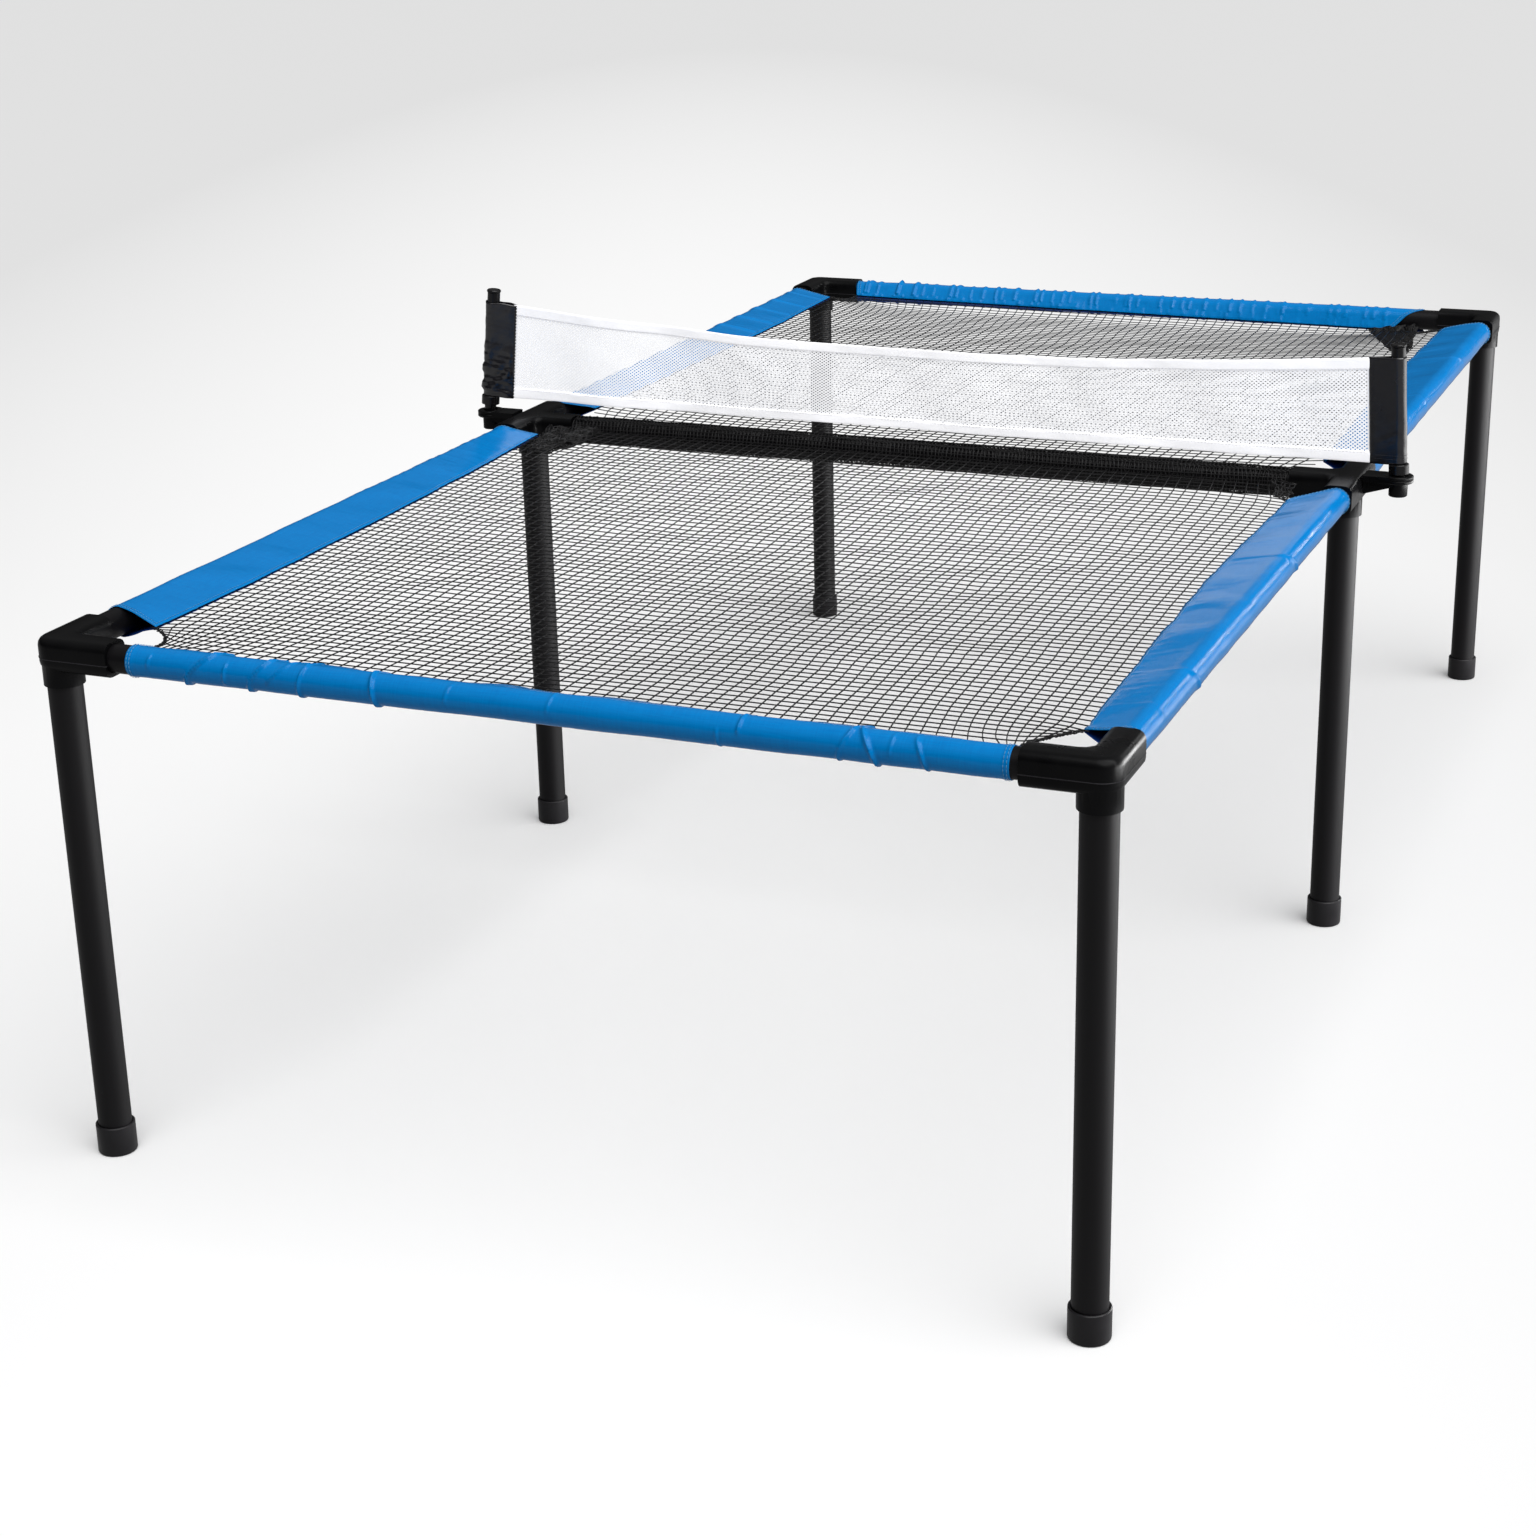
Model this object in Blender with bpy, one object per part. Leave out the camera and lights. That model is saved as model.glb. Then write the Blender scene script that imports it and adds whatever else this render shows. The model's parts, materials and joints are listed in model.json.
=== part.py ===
"""Low knock-down ping pong table: push-fit tube frame, stretched netting and a clip-on net.

+X is to the right across the table, +Y runs along it and +Z is up. The origin is on the
floor under the middle of the table. "near" is the -Y end and "far" the +Y end.
"""

import math

import bmesh
import bpy
from mathutils import Matrix, Vector

# Driving dimensions, in metres.
LEG_X = 0.381  # leg axes, from the middle line
LEG_Y = 0.734
RAIL_OUT = 0.003  # the outer rails' axes lie this far outside the leg axes
AXIS_Z = 0.396  # height of the rail axes
RAIL_R = 0.0105
LEG_R = 0.0127
TUBE_WALL = 0.0015
FIT_GAP = 0.00025  # radial clearance between a tube and what it plugs into
TOUCH_GAP = 0.0004  # gap between pieces that meet face to face
JOIN = 0.002  # how far shapes that become one piece overlap
EDGE = 0.0008  # chamfer on a moulded piece's edges
SMALL_EDGE = 0.0006

# Moulded connectors.
ARM_HALF = 0.0125  # half the side of an arm's square section
ARM_ROUND = 0.0068  # rounding of the arm's long edges
CORNER_ARM = 0.048  # from the leg axis to an arm's mouth
SIDE_ARM = 0.050
CROSS_ARM = 0.045
OUTER_CORNER_R = 0.0145
INNER_FILLET_R = 0.007
TOWER_R = 0.0148
TOWER_DROP = 0.0115  # how far the leg socket reaches below the arms
SOCKET_FLOOR = 0.0155  # from the leg axis to the end of a rail's socket
RAIL_INSET = SOCKET_FLOOR + 0.001
LEG_SOCKET_TOP = 0.002  # above the rail axis
LEG_TOP = 0.001
TOWER_ROOT = 0.006  # how far the leg socket's tower reaches up into the arms
EDGE_SEGMENTS = 4
CORNER_STEPS = 6
FILLET_STEPS = 3

# Feet.
FOOT_R = 0.0148
FOOT_HEIGHT = 0.0235
FOOT_FLOOR = 0.003
FOOT_EDGE = 0.0016
FOOT_MOUTH = 0.0003  # how much wider the cup is at its mouth

# Fabric sleeves and netting.
SLEEVE_WALL = 0.0009
BAND_WALL = 0.0013
SIDE_SEAM = 0.043  # from the rail axis in to the netting's seam
END_SEAM = 0.022
SEAM_Z = 0.0035  # top of the seam, above the rail axis
NETTING_WALL = 0.003
NETTING_CORNER = (0.022, 0.045)  # how far each outer corner is cut back across and along
SIDE_SLEEVE_FAR_END = 0.060  # from the corner leg axis to the end of a side sleeve
SIDE_SLEEVE_MID_END = 0.058  # from the middle leg axis
END_SLEEVE_END = 0.0565  # from the corner leg axis to the end of an end sleeve
POCKET_BAND = 35  # degrees of the pocket's top that the band leaves from
POCKET_STEPS = 18
WRAP_WALL = 0.0020
WRAP_HALF = 0.3340

# Net bracket.
BRACKET_REACH = 0.044  # from the leg axis out to the post's seat
BRACKET_RING_R = 0.0123
BRACKET_RING_THICK = 0.0062
BRACKET_GROOVE = 0.0006  # depth of the groove round the ring's edge
BRACKET_TOP = 0.0125  # above the rail axis
BRACKET_RING_RISE = 0.0004
BRACKET_BOSS_R = 0.0078
BRACKET_BOSS_DROP = 0.0125
BRACKET_BOSS_FLOOR = 0.0022
BRACKET_BORE_R = 0.0067
BRACKET_PLATE_THICK = 0.0050
BRACKET_PLATE_HALF = 0.0105
BRACKET_WEB_HALF = 0.0065
BRACKET_WEB_ROOT = -0.0040  # bottom of the web at the connector and at the seat
BRACKET_WEB_TIP = 0.0045
TONGUE_HALF = 0.0050
TONGUE_DEPTH = 0.0080
TONGUE_TOP = 0.0095
TONGUE_BOTTOM = 0.0035

# Net posts and net. The stretched net pulls the post tops inwards.
POST_LEAN = {"left": math.radians(5.5), "right": math.radians(3.3)}
POST_LIFT = {"left": 0.0045, "right": 0.0}  # how far short of its seat a post sits
POST_R = 0.0059
POST_HEIGHT = 0.1070  # from the bracket's ring to the shaft's top
COLLAR_R = 0.0084
COLLAR_BASE = 0.0011
COLLAR_HEIGHT = 0.0095
SPIGOT_R = 0.0055
SPIGOT_LENGTH = 0.0100
CAP_R = 0.0066
CAP_THICK = 0.0022
CAP_EDGE = 0.0009
CAP_DOME = 0.0006
CAP_PLUG_R = 0.0030
CAP_PLUG_LENGTH = 0.0060
NET_LOW = 0.0102  # ends of the net's sleeve, up the post from the bracket's ring
NET_HIGH = 0.0980
NET_END = 0.0225  # from the post's axis in to the white net
NET_WALL = 0.0012
NET_SLEEVE_WALL = 0.0009
NET_SLEEVE_STEPS = 12
TAPE_WALL = 0.0022
TOP_TAPE = 0.0100
BOTTOM_TAPE = 0.0095
TOP_SAG = 0.0180
BOTTOM_SAG = 0.0010
NET_SPANS = 12

ROUND_STEPS = 24
SMALL_STEPS = 20


def clear_scene():
    for obj in list(bpy.data.objects):
        bpy.data.objects.remove(obj, do_unlink=True)


def material(name, colour, roughness, metallic=0.0):
    made = bpy.data.materials.new(name)
    made.use_nodes = True
    shader = made.node_tree.nodes["Principled BSDF"]
    shader.inputs["Base Color"].default_value = (*colour, 1.0)
    shader.inputs["Roughness"].default_value = roughness
    shader.inputs["Metallic"].default_value = metallic
    return made


def shade_round(mesh, sharp_degrees=35):
    mesh.shade_smooth()
    mesh.set_sharp_from_angle(angle=math.radians(sharp_degrees))


def link(name, data, surface, matrix=None):
    """A named object with its own material slot, placed by matrix."""
    obj = bpy.data.objects.new(name, data)
    if not data.materials:
        data.materials.append(surface)
    obj.matrix_world = matrix or Matrix.Identity(4)
    bpy.context.scene.collection.objects.link(obj)
    return obj


def helper(obj):
    """Marks a cutter, which isn't part of the table."""
    obj.hide_render = True
    obj.display_type = "WIRE"
    return obj


def circle(radius, steps=ROUND_STEPS, centre=(0.0, 0.0)):
    turn = 2 * math.pi / steps
    return [
        (centre[0] + radius * math.cos(i * turn), centre[1] + radius * math.sin(i * turn))
        for i in range(steps)
    ]


def arc(centre, radius, start_degrees, end_degrees, steps):
    made = []
    for i in range(steps + 1):
        a = math.radians(start_degrees + (end_degrees - start_degrees) * i / steps)
        made.append((centre[0] + radius * math.cos(a), centre[1] + radius * math.sin(a)))
    return made


def extruded(name, loops, length, surface, matrix):
    """A flat outline, with any holes as further loops, extruded evenly along its local Z."""
    data = bpy.data.curves.new(name, "CURVE")
    data.dimensions = "2D"
    data.fill_mode = "BOTH"
    data.extrude = length / 2
    for loop in loops:
        spline = data.splines.new("POLY")
        spline.points.add(len(loop) - 1)
        for point, (x, y) in zip(spline.points, loop, strict=True):
            point.co = (x, y, 0.0, 1.0)
        spline.use_cyclic_u = True
    return link(name, data, surface, matrix)


def turned_mesh(name, profile, steps):
    """A closed turned mesh. The (radius, z) profile runs anticlockwise, seen with z upwards."""
    bm = bmesh.new()
    rings = []
    for radius, z in profile:
        if radius == 0.0:
            rings.append([bm.verts.new((0.0, 0.0, z))])
        else:
            rings.append([bm.verts.new((x, y, z)) for x, y in circle(radius, steps)])
    for below, above in zip(rings, rings[1:] + rings[:1], strict=True):
        if len(below) == 1 and len(above) == 1:
            continue
        for i in range(steps):
            j = (i + 1) % steps
            corners = [below[i % len(below)], below[j % len(below)]]
            corners += [above[j % len(above)], above[i % len(above)]]
            bm.faces.new(list(dict.fromkeys(corners)))
    bmesh.ops.recalc_face_normals(bm, faces=bm.faces)
    mesh = bpy.data.meshes.new(name)
    bm.to_mesh(mesh)
    bm.free()
    shade_round(mesh)
    return mesh


def along(axis, middle):
    """A matrix that turns local Z onto a world axis and moves it to middle."""
    turn = {
        "x": Matrix.Rotation(math.pi / 2, 4, "Y"),
        "y": Matrix.Rotation(-math.pi / 2, 4, "X"),
        "z": Matrix.Identity(4),
    }[axis]
    return Matrix.Translation(middle) @ turn


def tube(name, radius, start, end, axis, surface):
    middle = (Vector(start) + Vector(end)) / 2
    length = (Vector(end) - Vector(start)).length
    loops = [circle(radius), circle(radius - TUBE_WALL)]
    return extruded(name, loops, length, surface, along(axis, middle))


def cylinder_cutter(name, radius, start, end, axis, steps=ROUND_STEPS):
    profile = [(0.0, -0.5), (radius, -0.5), (radius, 0.5), (0.0, 0.5)]
    start, end = Vector(start), Vector(end)
    mesh = turned_mesh(name, profile, steps)
    mesh.transform(Matrix.Diagonal((1.0, 1.0, (end - start).length, 1.0)))
    return helper(link(name, mesh, None, along(axis, (start + end) / 2)))


def box_mesh(name, low, high):
    bm = bmesh.new()
    bmesh.ops.create_cube(bm, size=1.0)
    low, high = Vector(low), Vector(high)
    size = high - low
    bmesh.ops.transform(
        bm, matrix=Matrix.Translation((low + high) / 2) @ Matrix.Diagonal((*size, 1.0)), verts=bm.verts
    )
    mesh = bpy.data.meshes.new(name)
    bm.to_mesh(mesh)
    bm.free()
    return mesh


def combined(name, base, joined, cut):
    """The mesh of base after its unions and cuts, in the shared local frame."""
    for other, operation in [(o, "UNION") for o in joined] + [(o, "DIFFERENCE") for o in cut]:
        step = base.modifiers.new(other.name, "BOOLEAN")
        step.operation = operation
        step.solver = "EXACT"
        step.object = other
    bpy.context.view_layer.update()
    graph = bpy.context.evaluated_depsgraph_get()
    mesh = bpy.data.meshes.new_from_object(base.evaluated_get(graph))
    mesh.name = name
    for obj in [base, *joined, *cut]:
        bpy.data.objects.remove(obj, do_unlink=True)
    shade_round(mesh)
    return mesh


def moulded_prism(name, outline, mouths):
    """An outline raised by the arm's height, its edges rounded except across the arms' mouths.

    mouths holds (axis, value) for each line that an arm ends on.
    """
    bm = bmesh.new()
    lower = [bm.verts.new((x, y, -ARM_HALF)) for x, y in outline]
    face = bm.faces.new(lower)
    raised = bmesh.ops.extrude_face_region(bm, geom=[face])["geom"]
    upper = [v for v in raised if isinstance(v, bmesh.types.BMVert)]
    bmesh.ops.translate(bm, verts=upper, vec=(0.0, 0.0, 2 * ARM_HALF))

    def across_mouth(edge):
        return any(
            all(abs(v.co[axis] - value) < 1e-6 for v in edge.verts) for axis, value in mouths
        )

    rims = [
        e
        for e in bm.edges
        if abs(e.verts[0].co.z - e.verts[1].co.z) < 1e-6 and not across_mouth(e)
    ]
    bmesh.ops.bevel(
        bm, geom=rims, offset=ARM_ROUND, segments=EDGE_SEGMENTS, profile=0.5, affect="EDGES"
    )
    bmesh.ops.recalc_face_normals(bm, faces=bm.faces)
    mesh = bpy.data.meshes.new(name)
    bm.to_mesh(mesh)
    bm.free()
    return mesh


OUTER_FACE = RAIL_OUT + ARM_HALF  # from the leg axis out to an arm's outer face
INNER_FACE = ARM_HALF - RAIL_OUT
SOCKET_R = RAIL_R + FIT_GAP
LEG_SOCKET_R = LEG_R + FIT_GAP
TOWER_BOTTOM = -ARM_HALF - TOWER_DROP
PAST = 0.004  # how far a cutter runs past the face that it opens


def leg_tower(prefix):
    """The leg's socket: the piece to join on, and the bore to cut."""
    outside = cylinder_cutter(
        prefix + "_tower", TOWER_R, (0, 0, TOWER_BOTTOM), (0, 0, TOWER_ROOT - ARM_HALF), "z"
    )
    bore = cylinder_cutter(
        prefix + "_leg_bore", LEG_SOCKET_R, (0, 0, TOWER_BOTTOM - PAST), (0, 0, LEG_SOCKET_TOP), "z"
    )
    return outside, bore


def corner_connector_mesh(surface):
    """Three-way corner with its arms along local +X and +Y and its leg socket down."""
    far = CORNER_ARM
    middle = OUTER_CORNER_R - OUTER_FACE
    outline = arc((middle, middle), OUTER_CORNER_R, 180, 270, CORNER_STEPS)
    outline += [(far, -OUTER_FACE), (far, INNER_FACE)]
    turn = INNER_FACE + INNER_FILLET_R
    outline += arc((turn, turn), INNER_FILLET_R, 270, 180, FILLET_STEPS)
    outline += [(INNER_FACE, far), (-OUTER_FACE, far)]
    body = link("corner_body", moulded_prism("corner_body", outline, [(0, far), (1, far)]), surface)
    tower, leg_bore = leg_tower("corner")
    bores = [
        cylinder_cutter(
            "corner_bore_x", SOCKET_R, (SOCKET_FLOOR, -RAIL_OUT, 0), (far + PAST, -RAIL_OUT, 0), "x"
        ),
        cylinder_cutter(
            "corner_bore_y", SOCKET_R, (-RAIL_OUT, SOCKET_FLOOR, 0), (-RAIL_OUT, far + PAST, 0), "y"
        ),
    ]
    return combined("corner_connector", body, [tower], [leg_bore, *bores])


def side_connector_mesh(surface):
    """Four-way side connector: rails along local Y, cross rail along +X, leg down, bracket at -X."""
    reach, cross = SIDE_ARM, CROSS_ARM
    turn = INNER_FACE + INNER_FILLET_R
    cross_turn = ARM_HALF + INNER_FILLET_R
    outline = [(-OUTER_FACE, -reach), (INNER_FACE, -reach)]
    outline += arc((turn, -cross_turn), INNER_FILLET_R, 180, 90, FILLET_STEPS)
    outline += [(cross, -ARM_HALF), (cross, ARM_HALF)]
    outline += arc((turn, cross_turn), INNER_FILLET_R, 270, 180, FILLET_STEPS)
    outline += [(INNER_FACE, reach), (-OUTER_FACE, reach)]
    mouths = [(0, cross), (1, reach), (1, -reach)]
    body = link("side_body", moulded_prism("side_body", outline, mouths), surface)
    tower, leg_bore = leg_tower("side")
    bores = []
    for sign in (-1, 1):
        ends = (-RAIL_OUT, sign * SOCKET_FLOOR, 0), (-RAIL_OUT, sign * (reach + PAST), 0)
        bores.append(cylinder_cutter(f"side_bore_{sign}", SOCKET_R, *ends, "y"))
    ends = (SOCKET_FLOOR, 0, 0), (cross + PAST, 0, 0)
    bores.append(cylinder_cutter("side_bore_cross", SOCKET_R, *ends, "x"))
    low = (-OUTER_FACE - PAST, -TONGUE_HALF - FIT_GAP, TONGUE_BOTTOM - FIT_GAP)
    high = (TONGUE_DEPTH + FIT_GAP - OUTER_FACE, TONGUE_HALF + FIT_GAP, TONGUE_TOP + FIT_GAP)
    pocket = helper(link("side_pocket", box_mesh("side_pocket", low, high), None))
    return combined("side_connector", body, [tower], [leg_bore, *bores, pocket])


def extruded_between(name, outline, direction):
    """A closed mesh of a flat outline of 3-D points carried along a vector."""
    bm = bmesh.new()
    face = bm.faces.new([bm.verts.new(point) for point in outline])
    made = bmesh.ops.extrude_face_region(bm, geom=[face])["geom"]
    moved = [v for v in made if isinstance(v, bmesh.types.BMVert)]
    bmesh.ops.translate(bm, verts=moved, vec=direction)
    bmesh.ops.recalc_face_normals(bm, faces=bm.faces)
    mesh = bpy.data.meshes.new(name)
    bm.to_mesh(mesh)
    bm.free()
    return mesh


def bracket_seat_profile(bottom):
    """Half section of the ring that a post stands on and the boss below it."""
    top = BRACKET_TOP + BRACKET_RING_RISE
    under = top - BRACKET_RING_THICK
    middle = (top + under) / 2
    return [
        (0.0, bottom),
        (BRACKET_BOSS_R - EDGE, bottom),
        (BRACKET_BOSS_R, bottom + EDGE),
        (BRACKET_BOSS_R, under),
        (BRACKET_RING_R - EDGE, under),
        (BRACKET_RING_R, under + EDGE),
        (BRACKET_RING_R, middle - BRACKET_GROOVE),
        (BRACKET_RING_R - BRACKET_GROOVE, middle),
        (BRACKET_RING_R, middle + BRACKET_GROOVE),
        (BRACKET_RING_R, top - EDGE),
        (BRACKET_RING_R - EDGE, top),
        (0.0, top),
    ]


def net_bracket_mesh(surface):
    """Arm from the side connector out along -X to the ring that seats a net post."""
    seat, root = -BRACKET_REACH, -OUTER_FACE - TOUCH_GAP
    under = BRACKET_TOP - BRACKET_PLATE_THICK
    half = BRACKET_PLATE_HALF
    plate = [(root, -half, under), (root, half, under), (seat, half, under), (seat, -half, under)]
    body = link(
        "bracket_plate",
        extruded_between("bracket_plate", plate, (0, 0, BRACKET_PLATE_THICK)),
        surface,
    )
    half = BRACKET_WEB_HALF
    side = [
        (root, -half, BRACKET_WEB_ROOT),
        (root, -half, under + JOIN / 2),
        (seat, -half, under + JOIN / 2),
        (seat, -half, BRACKET_WEB_TIP),
    ]
    web = helper(link("bracket_web", extruded_between("bracket_web", side, (0, 2 * half, 0)), None))
    bottom = under - BRACKET_BOSS_DROP
    profile = bracket_seat_profile(bottom)
    centre = Matrix.Translation((seat, 0, 0))
    ring = turned_mesh("bracket_seat", profile, SMALL_STEPS)
    ring = helper(link("bracket_seat", ring, None, centre))
    low = (root - JOIN, -TONGUE_HALF, TONGUE_BOTTOM)
    high = (TONGUE_DEPTH - OUTER_FACE, TONGUE_HALF, TONGUE_TOP)
    tongue = helper(link("bracket_tongue", box_mesh("bracket_tongue", low, high), None))
    ends = (seat, 0, bottom + BRACKET_BOSS_FLOOR), (seat, 0, BRACKET_TOP + PAST)
    bore = cylinder_cutter("bracket_bore", BRACKET_BORE_R, *ends, "z", SMALL_STEPS)
    return combined("net_bracket", body, [web, ring, tongue], [bore])


def build_frame(black, tube_black):
    """Connectors, rails and net brackets, and the leg positions by name."""
    corner = corner_connector_mesh(black)
    side = side_connector_mesh(black)
    bracket = net_bracket_mesh(black)
    corners = {
        "near_left": (-1, -1, 0),
        "near_right": (1, -1, 90),
        "far_right": (1, 1, 180),
        "far_left": (-1, 1, 270),
    }
    places = {}
    for where, (sx, sy, turn) in corners.items():
        places[where] = (sx * LEG_X, sy * LEG_Y)
        matrix = Matrix.Translation((sx * LEG_X, sy * LEG_Y, AXIS_Z))
        matrix @= Matrix.Rotation(math.radians(turn), 4, "Z")
        link(f"corner_connector_{where}", corner, black, matrix)
    for where, sx, turn in (("left", -1, 0), ("right", 1, 180)):
        places[f"middle_{where}"] = (sx * LEG_X, 0.0)
        matrix = Matrix.Translation((sx * LEG_X, 0, AXIS_Z))
        matrix @= Matrix.Rotation(math.radians(turn), 4, "Z")
        link(f"side_connector_{where}", side, black, matrix)
        link(f"net_bracket_{where}", bracket, black, matrix)
    rail_x, rail_y = LEG_X + RAIL_OUT, LEG_Y + RAIL_OUT
    half = LEG_X - RAIL_INSET
    for end, sy in (("near", -1), ("far", 1)):
        low, high = sorted((sy * RAIL_INSET, sy * (LEG_Y - RAIL_INSET)))
        for where, sx in (("left", -1), ("right", 1)):
            ends = (sx * rail_x, low, AXIS_Z), (sx * rail_x, high, AXIS_Z)
            tube(f"side_rail_{end}_{where}", RAIL_R, *ends, "y", tube_black)
        ends = (-half, sy * rail_y, AXIS_Z), (half, sy * rail_y, AXIS_Z)
        tube(f"end_rail_{end}", RAIL_R, *ends, "x", tube_black)
    tube("cross_rail", RAIL_R, (-half, 0, AXIS_Z), (half, 0, AXIS_Z), "x", tube_black)
    return places


def foot_mesh():
    inner = LEG_R + FIT_GAP
    profile = [
        (0.0, 0.0),
        *arc((FOOT_R - FOOT_EDGE, FOOT_EDGE), FOOT_EDGE, 270, 360, 2),
        (FOOT_R, FOOT_HEIGHT - SMALL_EDGE),
        (FOOT_R - SMALL_EDGE, FOOT_HEIGHT),
        (inner + FOOT_MOUTH, FOOT_HEIGHT),
        (inner, FOOT_HEIGHT - SMALL_EDGE),
        (inner, FOOT_FLOOR),
        (0.0, FOOT_FLOOR),
    ]
    return turned_mesh("foot", profile, ROUND_STEPS)


def build_legs(places, tube_black, rubber):
    foot = foot_mesh()
    for where, (x, y) in places.items():
        bottom = FOOT_FLOOR + TOUCH_GAP
        tube(f"leg_{where}", LEG_R, (x, y, bottom), (x, y, AXIS_Z + LEG_TOP), "z", tube_black)
        link(f"foot_{where}", foot, rubber, Matrix.Translation((x, y, 0)))


def pocket_outline(tube_r, wall, band_wall, seam_out, seam_z):
    """Outline of a fabric pocket round a tube, its band running out along +X to the seam.

    The tube's axis is the origin. It returns the outside and the hole.
    """
    outside = tube_r + wall
    start = 90 - math.degrees(math.atan2(outside - seam_z, seam_out))
    outline = arc((0, 0), outside, start, start + 360 - POCKET_BAND, POCKET_STEPS)
    return [[(seam_out, seam_z), *outline, (seam_out, seam_z - band_wall)], circle(tube_r)]


def sleeve_frame(origin, inward, along_axis):
    """Local X points from the rail in to the table, local Y up, and local Z along the rail."""
    matrix = Matrix.Identity(4)
    up = Vector((0, 0, 1))
    inward, along_axis = Vector(inward), Vector(along_axis)
    for column, direction in enumerate((inward, up, along_axis)):
        matrix.col[column].xyz = direction
    matrix.translation = origin
    return matrix


def build_surface(blue, netting, wrap):
    rail_x, rail_y = LEG_X + RAIL_OUT, LEG_Y + RAIL_OUT
    hole = RAIL_R + FIT_GAP
    side_outline = pocket_outline(hole, SLEEVE_WALL, BAND_WALL, SIDE_SEAM, SEAM_Z)
    end_outline = pocket_outline(hole, SLEEVE_WALL, BAND_WALL, END_SEAM, SEAM_Z)
    start, stop = SIDE_SLEEVE_MID_END, LEG_Y - SIDE_SLEEVE_FAR_END
    half = rail_x - SIDE_SEAM - TOUCH_GAP
    inner = hole + WRAP_WALL + TOUCH_GAP
    outer = rail_y - END_SEAM - TOUCH_GAP
    across, down = NETTING_CORNER
    panel = [(-half, inner), (half, inner), (half, outer - down), (half - across, outer)]
    panel += [(across - half, outer), (-half, outer - down)]
    middle = AXIS_Z + SEAM_Z - NETTING_WALL / 2
    for end, sy in (("near", -1), ("far", 1)):
        for where, sx in (("left", -1), ("right", 1)):
            origin = (sx * rail_x, sy * (start + stop) / 2, AXIS_Z)
            matrix = sleeve_frame(origin, (-sx, 0, 0), (0, sx, 0))
            extruded(f"side_sleeve_{end}_{where}", side_outline, stop - start, blue, matrix)
        matrix = sleeve_frame((0, sy * rail_y, AXIS_Z), (0, -sy, 0), (-sy, 0, 0))
        extruded(f"end_sleeve_{end}", end_outline, 2 * (LEG_X - END_SLEEVE_END), blue, matrix)
        facing = Matrix.Rotation(0 if sy > 0 else math.pi, 4, "Z")
        matrix = Matrix.Translation((0, 0, middle)) @ facing
        extruded(f"netting_{end}", [panel], NETTING_WALL, netting, matrix)
    rings = [circle(hole + WRAP_WALL), circle(hole)]
    extruded("centre_wrap", rings, 2 * WRAP_HALF, wrap, along("x", (0, 0, AXIS_Z)))


def post_frame(where):
    """Local Z runs up the leaning post from the top of its bracket's ring, local X inwards."""
    sx = -1 if where == "left" else 1
    top = AXIS_Z + BRACKET_TOP + BRACKET_RING_RISE + POST_LIFT[where]
    seat = Matrix.Translation((sx * (LEG_X + BRACKET_REACH), 0, top))
    facing = Matrix.Rotation(0 if sx < 0 else math.pi, 4, "Z")
    return seat @ facing @ Matrix.Rotation(POST_LEAN[where], 4, "Y")


def post_mesh():
    socket = CAP_PLUG_R + FIT_GAP
    floor = POST_HEIGHT - CAP_PLUG_LENGTH - FIT_GAP
    profile = [
        (0.0, -SPIGOT_LENGTH),
        (SPIGOT_R - EDGE, -SPIGOT_LENGTH),
        (SPIGOT_R, EDGE - SPIGOT_LENGTH),
        (SPIGOT_R, COLLAR_BASE),
        (COLLAR_R, COLLAR_BASE),
        (COLLAR_R, COLLAR_HEIGHT - SMALL_EDGE),
        (COLLAR_R - SMALL_EDGE, COLLAR_HEIGHT),
        (POST_R, COLLAR_HEIGHT),
        (POST_R, POST_HEIGHT),
        (socket, POST_HEIGHT),
        (socket, floor),
        (0.0, floor),
    ]
    return turned_mesh("net_post", profile, SMALL_STEPS)


def cap_mesh():
    base = POST_HEIGHT + TOUCH_GAP
    profile = [
        (0.0, POST_HEIGHT - CAP_PLUG_LENGTH),
        (CAP_PLUG_R, POST_HEIGHT - CAP_PLUG_LENGTH),
        (CAP_PLUG_R, base),
        (CAP_R, base),
        (CAP_R, base + CAP_THICK - CAP_EDGE),
        (CAP_R - CAP_EDGE, base + CAP_THICK),
        (CAP_R / 2, base + CAP_THICK + 0.8 * CAP_DOME),
        (0.0, base + CAP_THICK + CAP_DOME),
    ]
    return turned_mesh("post_cap", profile, SMALL_STEPS)


def net_sleeve_outline():
    outside = POST_R + FIT_GAP + NET_SLEEVE_WALL
    outline = arc((0, 0), outside, 80, 280, NET_SLEEVE_STEPS)
    outline = [(NET_END, NET_SLEEVE_WALL), *outline, (NET_END, -NET_SLEEVE_WALL)]
    return [outline, circle(POST_R + FIT_GAP, SMALL_STEPS)]


def net_corner(where, up):
    """The world (x, z) where the white net ends, this far up the post from the ring."""
    point = post_frame(where) @ Vector((NET_END + TOUCH_GAP, 0, up))
    return point.x, point.z


def net_edge(up, sag, shift):
    """Points from left to right along one edge of a band of the net, hanging in a shallow arc."""
    left, right = net_corner("left", up + shift), net_corner("right", up + shift)
    made = []
    for i in range(NET_SPANS + 1):
        t = i / NET_SPANS
        drop = 4 * sag * t * (1 - t)
        made.append((left[0] + (right[0] - left[0]) * t, left[1] + (right[1] - left[1]) * t - drop))
    return made


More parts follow.
